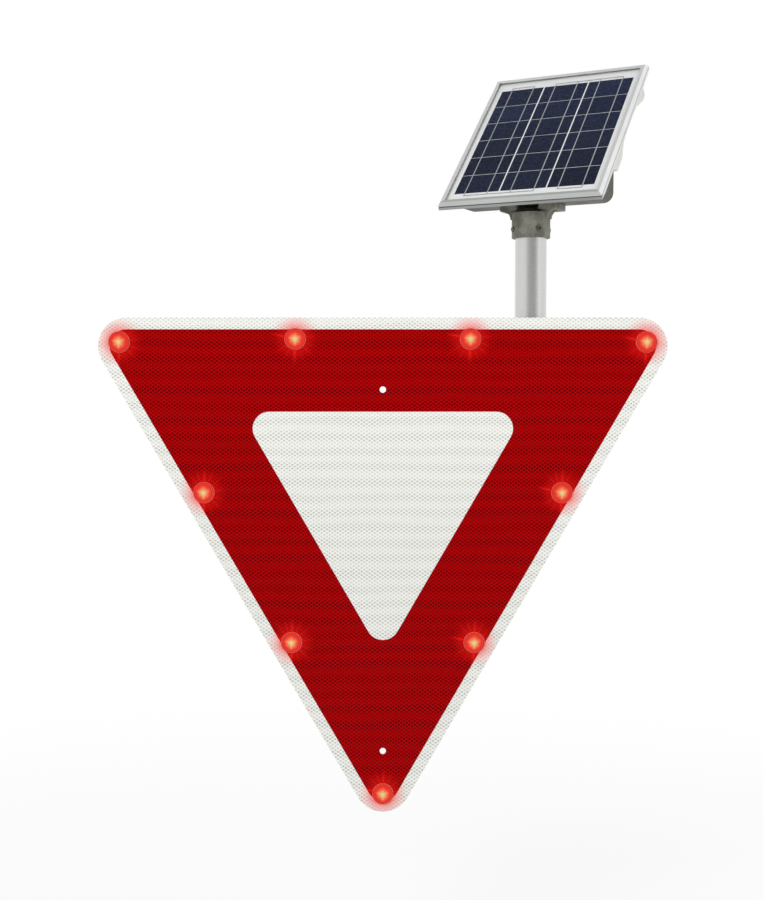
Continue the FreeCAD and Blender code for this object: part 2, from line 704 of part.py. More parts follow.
def box_body():
    """A cast wedge, open along its sloping top, with a rim, screw bosses, posts and cell cradles."""
    outer = box_block().common(slab(RIM_N - FAR, RIM_N))
    cavity = rounded_bar("y", BOX_FRONT + BOX_WALL, BOX_BACK - BOX_WALL, -BOX_W / 2 + BOX_WALL,
                         BOX_W / 2 - BOX_WALL, FLOOR_TOP, BOX_BOTTOM + FAR / 2, BOX_R - BOX_WALL)
    cavity = cavity.common(slab(RIM_N - FAR, RIM_N - RIM_T))
    shell = outer.cut([cavity, rim_opening(RIM_N - RIM_T - 1, RIM_N + 1)])
    extras = []
    for u, s in plate_screw_places():
        boss = to_slope(rod("z", RIM_N - BOSS_L, RIM_N - RIM_T / 2, u, s, BOSS_R))
        extras.append(boss.common(outer))
    for u, w in board_posts():
        extras.append(rod("z", FLOOR_TOP - 1, FLOOR_TOP + BOARD_LIFT, u, w, BOARD_POST_R))
    pack = rod("x", -FAR, FAR, PACK_W, PACK_Z, CELL_PACK_R + FIT_GAP)
    front = PACK_W - CELL_PACK_R + CRADLE_LEDGE
    for u in (PACK_U + CRADLE_FROM_END, -FITTER_BOLT_U - CRADLE_FROM_BOLT - CRADLE_T):
        cradle = box(u, u + CRADLE_T, front, BOX_BACK - BOX_WALL / 2, FLOOR_TOP - 1, PACK_Z)
        extras.append(cradle.cut(pack))
    solid = joined(shell, *extras)
    cuts = [rod("z", BOX_BOTTOM - 1, FLOOR_TOP + 1, 0, WIRE_HOLE_W, WIRE_HOLE_R)]
    cuts += [rod("z", BOX_BOTTOM - 1, FLOOR_TOP + 1, u, w, FITTER_BOLT_R + FIT_GAP)
             for u, w in fitter_bolt_places()]
    for u, s in plate_screw_places():
        cuts.append(to_slope(rod("z", PLATE_BOTTOM_N - PLATE_SCREW_L, RIM_N + 1, u, s,
                                 PLATE_SCREW_R + FIT_GAP / 2)).common(box_block()))
    return solid.cut(cuts)


def box_gasket():
    ring = box_block().common(slab(RIM_N, PLATE_BOTTOM_N)).cut(rim_opening(RIM_N - 1, PLATE_BOTTOM_N + 1))
    cuts = [to_slope(rod("z", RIM_N - 1, PLATE_BOTTOM_N + 1, u, s, PLATE_SCREW_R + FIT_GAP))
            for u, s in plate_screw_places()]
    return ring.cut(cuts)


def mount_plate():
    """The sheet that closes the box and reaches up the slope to carry both rails."""
    half = BOX_W / 2 + PLATE_OVERHANG
    tongue = TONGUE_W / 2
    low, high = BOX_S0 - PLATE_OVERHANG, BOX_S1 + PLATE_OVERHANG
    outline = [(-half, low), (half, low), (half, high), (tongue + TONGUE_FILLET, high),
               (tongue, high + TONGUE_FILLET), (tongue, TONGUE_TOP), (-tongue, TONGUE_TOP),
               (-tongue, high + TONGUE_FILLET), (-tongue - TONGUE_FILLET, high), (-half, high)]
    sheet = prism(outline, "z", PLATE_BOTTOM_N, PLATE_TOP_N)
    folds = []
    for side in (-1, 1):
        u0, u1 = sorted((side * tongue, side * (tongue - PLATE_T)))
        folds.append(box(u0, u1, high + TONGUE_FOLD_START, TONGUE_TOP, PLATE_TOP_N - TONGUE_FOLD, PLATE_TOP_N))
    solid = joined(sheet, *folds)
    cuts = []
    for u, s in plate_screw_places():
        cuts.append(rod("z", PLATE_BOTTOM_N - 1, PLATE_TOP_N + 1, u, s, PLATE_SCREW_R + FIT_GAP))
        cuts.append(at(countersink(FIT_GAP), u, s, PLATE_TOP_N))
    cuts += [rod("z", PLATE_BOTTOM_N - 1, PLATE_TOP_N + 1, u, s, RAIL_BOLT_R + FIT_GAP)
             for u, s in rail_bolt_places()]
    cuts.append(rod("z", PLATE_BOTTOM_N - 1, PLATE_TOP_N + 1, GLAND_U, GLAND_S, GLAND_R + FIT_GAP))
    return solid.cut(cuts)


def countersink(extra):
    """A cone below the origin, for a flush screw head."""
    depth = PLATE_SCREW_HEAD_R - PLATE_SCREW_R
    return turned([(0, 0), (PLATE_SCREW_HEAD_R + extra, 0), (PLATE_SCREW_R + extra, -depth), (0, -depth)])


def plate_screws():
    slot = hexagon(PLATE_SCREW_SOCKET_AF, -PLATE_SCREW_SOCKET_L, 1)
    shank = rod("z", PLATE_SCREW_SHORT - PLATE_SCREW_L - PLATE_T, 0, 0, 0, PLATE_SCREW_R)
    screw = joined(countersink(0.0), shank).cut(slot)
    return Part.makeCompound([at(screw, u, s, PLATE_TOP_N) for u, s in plate_screw_places()])


def battery_pack():
    """Cells in one line under a sleeve, with a groove at each joint between cells."""
    cell = CELL_PACK_L / CELL_PACK_COUNT
    pieces = []
    for i in range(CELL_PACK_COUNT):
        low, high = PACK_U + i * cell + CELL_JOINT_HALF, PACK_U + (i + 1) * cell - CELL_JOINT_HALF
        pieces.append(rod("x", low, high, PACK_W, PACK_Z, CELL_PACK_R))
    pieces.append(rod("x", PACK_U, PACK_U + CELL_PACK_L, PACK_W, PACK_Z, CELL_PACK_R - CELL_JOINT_DEPTH))
    return joined(*pieces)


def board_posts():
    inset = BOARD_POST_INSET
    return [(u, w) for u in (BOARD_U + inset, BOARD_U + BOARD_W - inset)
            for w in (BOARD_BACK - BOARD_D + inset, BOARD_BACK - inset)]


def charge_board():
    """The charge board, with a terminal strip, a coil and a capacitor."""
    low = FLOOR_TOP + BOARD_LIFT
    top = low + BOARD_T
    sunk = top - BOARD_T / 2
    end = BOARD_U + BOARD_W
    strip = BOARD_BACK - TERMINAL_BACK_GAP
    middle = (BOARD_BACK - BOARD_D + strip - TERMINAL_D) / 2
    board = box(BOARD_U, end, BOARD_BACK - BOARD_D, BOARD_BACK, low, top)
    terminal = box(BOARD_U + TERMINAL_INSET, end - TERMINAL_INSET, strip - TERMINAL_D, strip, sunk,
                   top + TERMINAL_H)
    coil = rod("z", sunk, top + COIL_H, BOARD_U + COIL_INSET, middle, COIL_R)
    capacitor = rod("z", sunk, top + CAPACITOR_H, end - CAPACITOR_INSET, middle, CAPACITOR_R)
    return joined(board, terminal, coil, capacitor)


def wire_grommet():
    lip = WIRE_HOLE_R + GROMMET_LIP
    low, high = BOX_BOTTOM - GROMMET_LIP_T, FLOOR_TOP + GROMMET_LIP_T
    barrel = WIRE_HOLE_R - FIT_GAP / 2
    ring = turned([(GROMMET_BORE_R, low), (lip, low), (lip, BOX_BOTTOM), (barrel, BOX_BOTTOM),
                   (barrel, FLOOR_TOP), (lip, FLOOR_TOP), (lip, high), (GROMMET_BORE_R, high)])
    return at(ring, 0, WIRE_HOLE_W, 0)


def plate_gland():
    """The inlet for the panel's lead: a threaded stem, a hexagon and a domed cap."""
    low = PLATE_BOTTOM_N - GLAND_STEM_PROUD
    seat = PLATE_TOP_N + GLAND_HEX_T
    top = seat + GLAND_CAP_H
    stem = rod("z", low, PLATE_TOP_N, 0, 0, GLAND_R)
    body = hexagon(GLAND_AF, PLATE_TOP_N, seat)
    cap = turned([(0, seat), (GLAND_CAP_R, seat), (GLAND_CAP_R, seat + GLAND_CAP_SIDE), (GLAND_CAP_TOP_R, top),
                  (0, top)])
    bore = rod("z", low - 1, top + 1, 0, 0, GLAND_BORE_R)
    return at(joined(stem, body, cap).cut(bore), GLAND_U, GLAND_S, 0)


# Rails

def rail_bolt_places():
    rows = (LOWER_RAIL_S + LOWER_BOLT_SHIFT, UPPER_RAIL_S + UPPER_BOLT_SHIFT)
    return [(side * RAIL_BOLT_U, s) for s in rows for side in (-1, 1)]


def frame_bolt_places():
    u = PANEL_W / 2 - FRAME_BOLT_INSET
    rows = (LOWER_TOE + RAIL_FLANGE / 2, UPPER_TOE - RAIL_FLANGE / 2)
    return [(side * u, s) for s in rows for side in (-1, 1)]


def folded(points, thickness):
    """The section of a folded sheet: its outer line, and the same line set in to its left."""
    lines = []
    for (x0, y0), (x1, y1) in zip(points, points[1:]):
        length = math.hypot(x1 - x0, y1 - y0)
        dx, dy = (x1 - x0) / length, (y1 - y0) / length
        lines.append((x0 - dy * thickness, y0 + dx * thickness, dx, dy))
    inner = [lines[0][:2]]
    for (ax, ay, adx, ady), (bx, by, bdx, bdy) in zip(lines, lines[1:]):
        along = ((bx - ax) * bdy - (by - ay) * bdx) / (adx * bdy - ady * bdx)
        inner.append((ax + along * adx, ay + along * ady))
    x, y, dx, dy = lines[-1]
    last = math.hypot(points[-1][0] - points[-2][0], points[-1][1] - points[-2][1])
    inner.append((x + dx * last, y + dy * last))
    return points + inner[::-1]


def rail(s, way, crown, ramp, lean):
    """A folded channel across the panel's back, closed at its ends. For way 1 its long leg is up the slope."""
    half, back, low = crown / 2, FRAME_BACK_N - RAIL_T, PLATE_TOP_N
    heel, toe = -half - lean, half + ramp
    line = [(heel - RAIL_FLANGE, back), (heel, back), (-half, low), (half, low), (toe, back),
            (toe + RAIL_FLANGE, back)]
    sheet = [(s + way * a, n) for a, n in folded(line, RAIL_T)]
    closed = [(heel, FRAME_BACK_N)] + line[1:-1] + [(toe, FRAME_BACK_N)]
    cap = [(s + way * a, n) for a, n in closed]
    end = PANEL_W / 2 - RAIL_END_INSET
    channel = joined(prism(sheet, "x", -end, end), prism(cap, "x", -end, RAIL_T - end),
                     prism(cap, "x", end - RAIL_T, end))
    cuts = [rod("z", low - 1, low + RAIL_T + 1, u, v, RAIL_BOLT_R + FIT_GAP) for u, v in rail_bolt_places()]
    cuts += [rod("z", back - 1, back + RAIL_T + 1, u, v, FRAME_BOLT_R + FIT_GAP)
             for u, v in frame_bolt_places()]
    return channel.cut(cuts)


def rail_bolts():
    length = RAIL_T + PLATE_T + RAIL_NUT_T + RAIL_BOLT_PROUD
    piece = bolt(RAIL_BOLT_R, RAIL_BOLT_AF, RAIL_BOLT_HEAD_H, length)
    seat = PLATE_TOP_N + RAIL_T
    return Part.makeCompound([at(piece, u, s, seat, Vector(0, 0, -1)) for u, s in rail_bolt_places()])


def rail_nuts():
    piece = nut(RAIL_BOLT_R, RAIL_BOLT_AF, RAIL_NUT_T)
    return Part.makeCompound([at(piece, u, s, PLATE_BOTTOM_N, Vector(0, 0, -1)) for u, s in rail_bolt_places()])


def frame_bolts():
    length = FRAME_WALL + RAIL_T + FRAME_NUT_T + FRAME_BOLT_PROUD
    piece = bolt(FRAME_BOLT_R, FRAME_BOLT_AF, FRAME_BOLT_HEAD_H, length)
    seat = FRAME_BACK_N + FRAME_WALL
    return Part.makeCompound([at(piece, u, s, seat, Vector(0, 0, -1)) for u, s in frame_bolt_places()])


def frame_nuts():
    piece = nut(FRAME_BOLT_R, FRAME_BOLT_AF, FRAME_NUT_T)
    seat = FRAME_BACK_N - RAIL_T
    return Part.makeCompound([at(piece, u, s, seat, Vector(0, 0, -1)) for u, s in frame_bolt_places()])


# Panel, in its own frame: the outer lower edge at Y 0 and the front of the lip at Z 0

def frame_section():
    """The section of the frame bar: distance in from the outside, and height."""
    back, wall = FRAME_BACK_N, FRAME_WALL
    groove = -FRAME_BEVEL_H - GROOVE_LAND
    low = groove - GROOVE_W
    return [
        (FRAME_BEVEL_W, 0), (FRAME_BEVEL_W + FRAME_LIP_W, 0), (FRAME_BEVEL_W + FRAME_LIP_W, -wall),
        (FRAME_POCKET, -wall), (FRAME_POCKET, SHELF_N), (FRAME_SHELF_W, SHELF_N),
        (FRAME_SHELF_W, SHELF_N - SHELF_T), (wall, SHELF_N - SHELF_T), (wall, back + wall),
        (FRAME_FLANGE_W, back + wall), (FRAME_FLANGE_W, back), (0, back), (0, low),
        (GROOVE_DEPTH, low + GROOVE_DRAFT), (GROOVE_DEPTH, groove - GROOVE_DRAFT), (0, groove),
        (0, -FRAME_BEVEL_H),
    ]


def frame_bar(length):
    """A bar along X with its outside on Y 0, mitred at both ends."""
    half = length / 2
    bar = prism(frame_section(), "x", -half, half)
    reach = FRAME_FLANGE_W + 1
    mitre = prism([(-half, 0), (half, 0), (half - reach, reach), (-half + reach, reach)], "z",
                  FRAME_BACK_N - 1, 1)
    return bar.common(mitre)


def frame_side(name):
    turn = {"bottom": 0, "right": 90, "top": 180, "left": -90}[name]
    length = PANEL_W if name in ("top", "bottom") else PANEL_H
    place = {"bottom": (0, 0), "right": (PANEL_W / 2, PANEL_H / 2), "top": (0, PANEL_H),
             "left": (-PANEL_W / 2, PANEL_H / 2)}[name]
    bar = moved(frame_bar(length), Placement(Vector(place[0], place[1], 0), Rotation(Vector(0, 0, 1), turn)))
    cuts = [rod("z", FRAME_BACK_N - 1, FRAME_BACK_N + FRAME_WALL + 1, u, s, FRAME_BOLT_R + FIT_GAP)
            for u, s in frame_bolt_places()]
    return bar.cut(cuts)


def laminate_sheet(n0, n1):
    inset = FRAME_POCKET + FIT_GAP
    return box(-PANEL_W / 2 + inset, PANEL_W / 2 - inset, inset, PANEL_H - inset, n0, n1)


def cell_centre(column, row):
    u = (column - (CELL_COLUMNS - 1) / 2) * CELL_PITCH_U
    s = PANEL_H / 2 + ((CELL_ROWS - 1) / 2 - row) * CELL_PITCH_S
    return u, s


def solar_cells():
    half_u, half_s = (CELL_PITCH_U - COLUMN_GAP) / 2, (CELL_PITCH_S - ROW_GAP) / 2
    cells = []
    for column in range(CELL_COLUMNS):
        for row in range(CELL_ROWS):
            u, s = cell_centre(column, row)
            cells.append(box(u - half_u, u + half_u, s - half_s, s + half_s, CELL_BACK_N, RIBBON_BACK_N))
    return Part.makeCompound(cells)


def cell_ribbons():
    """Two ribbons down each column, linked below the first pair of columns and above the second."""
    middle = PANEL_H / 2
    half_s = CELL_ROWS * CELL_PITCH_S / 2
    quarter = CELL_PITCH_U / 4
    reach = half_s + CROSS_RIBBON_OFFSET
    links = {-1: ((-1.25, 0.25), (0.75, 1.25)), 1: ((-1.25, -0.75), (-0.25, 1.25))}
    strips = []
    for column in range(CELL_COLUMNS):
        for side in (-1, 1):
            u = (column - (CELL_COLUMNS - 1) / 2) * CELL_PITCH_U + side * quarter
            strips.append(box(u - RIBBON_W / 2, u + RIBBON_W / 2, middle - reach, middle + reach,
                              RIBBON_BACK_N, GLASS_BACK_N))
    for end, spans in links.items():
        s = middle + end * reach
        for a, b in spans:
            strips.append(box(a * CELL_PITCH_U - RIBBON_W / 2, b * CELL_PITCH_U + RIBBON_W / 2,
                              s - CROSS_RIBBON_W / 2, s + CROSS_RIBBON_W / 2, RIBBON_BACK_N, GLASS_BACK_N))
    return joined(*strips)


def corner_keys():
    """The angle pieces inside the frame's corners."""
    n0 = FRAME_BACK_N + FRAME_WALL + FIT_GAP / 2
    n1 = SHELF_N - SHELF_T - FIT_GAP / 2
    gap = FRAME_WALL + FIT_GAP
    angle = [(0, 0), (KEY_LEG, 0), (KEY_LEG, KEY_W), (KEY_W, KEY_W), (KEY_W, KEY_LEG), (0, KEY_LEG)]
    keys = []
    for side_u in (-1, 1):
        for side_s in (-1, 1):
            corner_u = side_u * (PANEL_W / 2 - gap)
            corner_s = PANEL_H / 2 + side_s * (PANEL_H / 2 - gap)
            outline = [(corner_u - side_u * a, corner_s - side_s * b) for a, b in angle]
            keys.append(prism(outline, "z", n0, n1))
    return Part.makeCompound(keys)


def junction_shell():
    """The tray of the junction box on the back of the laminate, with a lead outlet."""
    half_u, half_s = JUNCTION_W / 2, JUNCTION_H / 2
    top = SHEET_BACK_N
    low = top - JUNCTION_T
    tray = rounded_bar("z", low, top, -half_u, half_u, JUNCTION_S - half_s, JUNCTION_S + half_s,
                       JUNCTION_CORNER_R)
    wall = JUNCTION_WALL
    hollow = rounded_bar("z", low - 1, top - wall, -half_u + wall, half_u - wall,
                         JUNCTION_S - half_s + wall, JUNCTION_S + half_s - wall, JUNCTION_CORNER_R - wall)
    middle = (low + top) / 2
    edge = JUNCTION_S - half_s
    outlet = rod("y", edge - JUNCTION_OUTLET_L, edge + wall / 2, 0, middle, JUNCTION_OUTLET_R)
    bore = rod("y", edge - JUNCTION_OUTLET_L - 1, edge + wall + 1, 0, middle, JUNCTION_BORE_R)
    return joined(tray, outlet).cut([hollow, bore])


def junction_lid():
    half_u, half_s = JUNCTION_W / 2, JUNCTION_H / 2
    low = SHEET_BACK_N - JUNCTION_T
    lid = rounded_bar("z", low - JUNCTION_LID_T, low, -half_u, half_u, JUNCTION_S - half_s,
                      JUNCTION_S + half_s, JUNCTION_CORNER_R)
    wall = JUNCTION_WALL + FIT_GAP
    lip = rounded_bar("z", low, low + JUNCTION_LID_T, -half_u + wall, half_u - wall,
                      JUNCTION_S - half_s + wall, JUNCTION_S + half_s - wall, JUNCTION_CORNER_R - wall)
    return joined(lid, lip)


def sign_pieces():
    pieces = {
        "blade": blade(),
        "white_sheeting": white_sheeting(),
        "red_overlay": red_overlay(),
        "lamp_nuts": lamp_nuts(),
        "mast": mast(),
        "mast_plug": mast_plug(),
        "mast_plate": mast_plate(),
        "plate_tape": plate_tape(),
        "strap_upper": strap(MAST_PLATE_TOP - STRAP_END),
        "strap_lower": strap(MAST_PLATE_BOTTOM + STRAP_END),
        "strap_studs": strap_studs(),
        "strap_nuts": strap_nuts(),
        "lamp_emitters": Part.makeCompound(on_lamps(emitter(), FACE_Y)),
    }
    for i, piece in enumerate(on_lamps(lens(), FACE_Y), 1):
        pieces["lamp_lens_%d" % i] = piece
    for i, piece in enumerate(on_lamps(lamp_body(), FACE_Y), 1):
        pieces["lamp_body_%d" % i] = piece
    return pieces


def head_pieces():
    upright = {
        "slip_fitter": slip_fitter(),
        "set_screws": set_screws(),
        "fitter_bolts": fitter_bolts(),
        "box_body": box_body(),
        "box_gasket": box_gasket(),
        "battery_pack": battery_pack(),
        "charge_board": charge_board(),
        "wire_grommet": wire_grommet(),
    }
    sloping = {
        "mount_plate": mount_plate(),
        "plate_screws": plate_screws(),
        "plate_gland": plate_gland(),
        "rail_lower": rail(LOWER_RAIL_S, 1, LOWER_CROWN, LOWER_RAMP, LOWER_LEAN),
        "rail_upper": rail(UPPER_RAIL_S, -1, UPPER_CROWN, UPPER_RAMP, UPPER_LEAN),
        "rail_bolts": rail_bolts(),
        "rail_nuts": rail_nuts(),
        "frame_bolts": frame_bolts(),
        "frame_nuts": frame_nuts(),
        "corner_keys": corner_keys(),
        "glass": laminate_sheet(GLASS_BACK_N, GLASS_TOP_N),
        "backsheet": laminate_sheet(SHEET_BACK_N, CELL_BACK_N),
        "solar_cells": solar_cells(),
        "cell_ribbons": cell_ribbons(),
        "junction_shell": junction_shell(),
        "junction_lid": junction_lid(),
    }
    for name in ("bottom", "right", "top", "left"):
        sloping["frame_" + name] = frame_side(name)
    pieces = {name: moved(shape, HEAD) for name, shape in upright.items()}
    pieces.update({name: moved(shape, SLOPE) for name, shape in sloping.items()})
    return pieces


def main():
    os.makedirs("parts", exist_ok=True)
    pieces = sign_pieces()
    pieces.update(head_pieces())
    for name, shape in sorted(pieces.items()):
        shape.exportStep("parts/%s.step" % name)
        print(name, len(shape.Solids), shape.isValid(), round(shape.Volume, 1))
    print(len(pieces), "pieces")


main()
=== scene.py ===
import json
import math

import bmesh
import bpy
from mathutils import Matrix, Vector

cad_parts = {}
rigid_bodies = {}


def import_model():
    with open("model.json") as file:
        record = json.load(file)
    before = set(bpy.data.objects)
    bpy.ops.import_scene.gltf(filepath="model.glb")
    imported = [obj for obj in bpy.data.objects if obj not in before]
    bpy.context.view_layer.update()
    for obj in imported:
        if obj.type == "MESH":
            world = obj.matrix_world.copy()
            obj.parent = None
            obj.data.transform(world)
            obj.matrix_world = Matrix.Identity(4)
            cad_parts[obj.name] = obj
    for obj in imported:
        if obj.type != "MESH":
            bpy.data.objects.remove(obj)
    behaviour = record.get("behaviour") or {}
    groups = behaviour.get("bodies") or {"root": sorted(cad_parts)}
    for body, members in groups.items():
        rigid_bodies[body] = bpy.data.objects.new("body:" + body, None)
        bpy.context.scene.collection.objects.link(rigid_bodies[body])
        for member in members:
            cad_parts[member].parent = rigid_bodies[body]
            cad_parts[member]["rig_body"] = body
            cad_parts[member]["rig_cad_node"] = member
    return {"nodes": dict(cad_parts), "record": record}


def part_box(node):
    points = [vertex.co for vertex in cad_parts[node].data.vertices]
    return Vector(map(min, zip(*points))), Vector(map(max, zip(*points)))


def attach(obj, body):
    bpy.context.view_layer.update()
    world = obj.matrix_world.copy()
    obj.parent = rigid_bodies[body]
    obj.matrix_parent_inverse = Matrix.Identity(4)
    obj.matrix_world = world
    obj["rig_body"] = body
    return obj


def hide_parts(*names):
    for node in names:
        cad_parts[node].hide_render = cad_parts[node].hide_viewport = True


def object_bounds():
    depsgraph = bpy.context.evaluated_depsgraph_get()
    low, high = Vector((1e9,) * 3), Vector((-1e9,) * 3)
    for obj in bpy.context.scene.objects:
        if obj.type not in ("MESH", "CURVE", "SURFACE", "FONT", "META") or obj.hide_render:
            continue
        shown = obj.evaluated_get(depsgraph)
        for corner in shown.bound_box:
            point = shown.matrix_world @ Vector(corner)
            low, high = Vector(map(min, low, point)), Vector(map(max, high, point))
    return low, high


bl_info = {
    "name": "Give Way Sign Finisher",
    "version": (1, 0, 0),
    "blender": (4, 5, 0),
    "location": "3D View > Sidebar > Sign",
    "description": "Finishes a give way sign with lamps in its border and a solar head on a mast",
    "category": "Object",
}

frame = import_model()
CAD_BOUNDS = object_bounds()
RECORD = frame["record"]
SLOT_OF = {row["node"]: row["material_slot"] for row in RECORD["subparts"]}
BODY_OF = {node: body for body, nodes in RECORD["behaviour"]["bodies"].items() for node in nodes}

MM = 0.001
LAMP_NUMBERS = range(1, 10)

# Times a place, what is left of it across the sign's face
IN_FACE = (1.0, 0.0, 1.0)

# The panel's own frame, with X to its right, Y up the slope and Z out of its face, and its sizes in metres
PANEL_ORIGIN = (0.19635, -0.02392, 0.55482)
PANEL_TURN = (math.radians(45.0), 0.0, math.radians(-27.4))
PANEL_HALF_WIDTH = 0.129
PANEL_HALF_HEIGHT = 0.165
CELL_COLUMNS = 3
CELL_PITCH = (0.0747, 0.0455)
FIRST_CELL_ROW = 0.0285
FINGER_PITCH = 0.0022
SILICON_GRAINS = 210.0

# Grooves round the frame: their depth below its face, and how far the painted shade in the groove and the
# painted shade of the band below it reach from there
GROOVE_N = -0.0064
GROOVE_HALF = (0.0007, 0.0012)
BAND_EDGE = (0.0012, 0.0008)

# Turns that carry a piece modelled about Z to the front and to the back of the blade
FRONT = (math.radians(90.0), 0.0, 0.0)
BACK = (math.radians(-90.0), 0.0, 0.0)

# Turned outlines, as radius and height in mm
LENS_RIM = ((15.5, 1.3), (15.5, 0.1), (16.0, 0.1), (16.0, 2.0), (15.85, 2.4), (15.5, 2.65), (15.1, 2.72),
            (14.25, 2.72), (14.15, 3.05), (13.95, 3.2), (13.45, 3.2), (13.25, 3.05), (13.1, 2.75))
LENS_DOME_R = 13.1
LENS_DOME_FOOT = 2.75
LENS_DOME_RISE = 3.25
LENS_DOME_STEPS = 12
LENS_SIDES = 96
BARREL_CORE = ((15.3, 1.2), (15.3, 0.0), (10.3, 0.0), (10.3, -18.4), (9.2, -20.0), (4.2, -20.0), (3.9, -19.7),
               (2.5, -19.7), (2.5, -14.0), (0.0, -14.0))
BARREL_SIDES = 64
STUD_CORE = ((2.45, -7.0), (2.45, 7.3), (2.1, 7.75), (0.0, 7.75))
STUD_SIDES = 32

# Threads: crest radius, depth, pitch, start and end in mm
BARREL_THREAD = (11.0, 0.75, 1.5, -19.0, -4.0)
STUD_THREAD = (3.0, 0.55, 1.0, -7.0, 7.0)
THREAD_FILL = 0.46

# Nuts: width across flats, thickness and bore radius in mm
NUTS = {"lamp_nuts": (28.0, 5.0, 11.05), "strap_nuts": (10.0, 5.0, 2.9), "rail_nuts": (10.0, 5.0, 2.9),
        "frame_nuts": (8.0, 4.0, 2.4)}
NUT_CHAMFER_SLOPE = 0.62
NUT_FACE_SHARE = 0.96
NUT_EDGE = 0.15
NUT_SIDES = 48
BORE_SIDES = 40

# Eased edges: width in mm. The casting's larger edge takes one more segment.
EDGES = {"mast": 0.5, "mast_plug": 0.6, "mast_plate": 0.6, "strap_upper": 0.5, "strap_lower": 0.5,
         "slip_fitter": 0.9, "set_screws": 0.3, "box_body": 1.0, "mount_plate": 0.4, "rail_upper": 0.4,
         "rail_lower": 0.4, "junction_shell": 0.5, "junction_lid": 0.5, "plate_gland": 0.3}
EDGE_SEGMENTS = 2
CAST_EDGE_SEGMENTS = 3
WELD = 1e-6
FLAT_ANGLE = math.radians(0.4)
EDGE_ANGLE = math.radians(30.0)
SMOOTH_ANGLE = math.radians(50.0)
THREAD_SMOOTH_ANGLE = math.radians(35.0)
NUT_EDGE_ANGLE = math.radians(35.0)
NUT_SMOOTH_ANGLE = math.radians(30.0)

# Prismatic lattice, in shares of a cell: how a spot fades out and how the line round it comes up
SPOT_FADE = (0.10, 0.42, 1.0, 0.0)
LINE_RISE = (0.30, 0.48)

# How much of the lattice, of the bands and of the lamps' painted light shows in a sheet
SPOT_IN_BAND = 0.60
BAND_SHARE = 0.12
LINE_SHARE = 0.80
LINE_HEIGHT_MM = 0.02
HALO_POWER = 1.6
TIGHT_LIGHT = 0.29
RAY_LIGHT = 0.49
LIGHTER_ABOVE = (-0.12, 0.34, 0.0, 0.7)

# Looks of the two sheets: the lattice's spots and lines, then the painted halo round a lamp and the painted
# light it adds
SHEETING_LOOKS = {
    "white_prismatic": {"spot": (0.44, 0.44, 0.41), "spot_share": 0.90, "line": (0.94, 0.94, 0.90),
                        "halo": (0.84, 0.24, 0.23), "halo_share": 0.92, "light": (0.107, 0.0, 0.0)},
    "red_prismatic": {"spot": (0.055, 0.0, 0.0003), "spot_share": 1.0, "line": (0.50, 0.0006, 0.0016),
                      "halo": (0.48, 0.001, 0.002), "halo_share": 0.38, "light": (0.40, 0.010, 0.005)},
}

# Painted lamp light over the distance from a lamp's axis: start and end in metres, level at each
WIDE_HALO = (0.012, 0.046, 1.0, 0.0)
TIGHT_HALO = (0.012, 0.036, 1.0, 0.0)
SOFT_OUTSIDE = (0.014, 0.032, 0.5, 0.0)
FINE_OUTSIDE = (0.014, 0.042, 2.2, 0.0)
SOFT_IN_LENS = (0.006, 0.0125, 0.9, 0.0)
FINE_IN_LENS = (0.004, 0.015, 0.0, 0.35)
LENS_R = 0.016

# Painted rays and fine streaks round a lamp: direction in degrees, strength, sharpness
LAMP_RAYS = ((268, 1.0, 22.0), (166, 0.75, 26.0), (22, 0.45, 14.0), (86, 0.40, 18.0), (212, 0.30, 14.0),
             (318, 0.30, 14.0), (128, 0.25, 14.0))
LAMP_STREAKS = ((167, 1.0, 700.0), (268, 0.7, 300.0), (88, 0.6, 300.0), (66, 0.35, 900.0),
                (108, 0.45, 900.0), (128, 0.35, 700.0), (40, 0.30, 900.0), (8, 0.30, 700.0),
                (340, 0.35, 900.0), (316, 0.40, 700.0), (292, 0.30, 900.0), (214, 0.35, 700.0),
                (240, 0.30, 900.0))

# Colour and glow of a lit lens from its middle to its rim: share of LENS_R, colour
LENS_STOPS = ((0.0, (0.22, 0.10, 0.04)), (0.30, (0.24, 0.03, 0.015)), (0.60, (0.24, 0.008, 0.005)),
              (1.0, (0.22, 0.008, 0.006)))
GLOW_STOPS = ((0.0, (0.56, 0.57, 0.25)), (0.10, (0.57, 0.50, 0.21)), (0.20, (0.62, 0.33, 0.14)),
              (0.31, (0.64, 0.18, 0.075)), (0.43, (0.62, 0.085, 0.036)), (0.60, (0.57, 0.032, 0.016)),
              (0.78, (0.47, 0.010, 0.006)), (0.82, (0.64, 0.080, 0.052)), (0.86, (0.41, 0.006, 0.005)),
              (0.935, (0.35, 0.005, 0.004)), (0.97, (0.64, 0.160, 0.125)), (1.0, (0.46, 0.060, 0.048)))

# Painted shade on the panel's frame, the painted sky reflection on its cells, and the colour of their fingers
GROOVE_SHADE_COLOUR = (0.09, 0.10, 0.095)
BAND_SHADE_COLOUR = (0.26, 0.27, 0.265)
BAR_SHADE_COLOUR = (0.38, 0.41, 0.385)
PAINTED_SKY_REFLECTION = (0.017, 0.025, 0.080)
SKY_REFLECTION_RISE = (0.10, 0.32)
FINGER_SILVER = (0.14, 0.16, 0.22)

COAT_ROUGHNESS = 0.08
SENSOR_WIDTH = 36.0

# Floor: radius, and its fade to white by the distance from the sign as start, end, level at each
FLOOR_R = 14.0
FLOOR_FADE = (0.5, 2.2, 0.72, 1.0)

# Lights: name, place, width, power. All aim at LIGHT_TARGET. Only MIRRORED_LIGHT shows in what is polished.
LIGHTS = (("key", (-1.7, -2.4, 2.3), 1.6, 46.0), ("fill", (2.4, -1.8, 0.9), 1.8, 18.0),
          ("rim", (0.6, 2.4, 1.8), 1.4, 22.0))
LIGHT_TARGET = Vector((0.05, 0.0, 0.20))
MIRRORED_LIGHT = "rim"

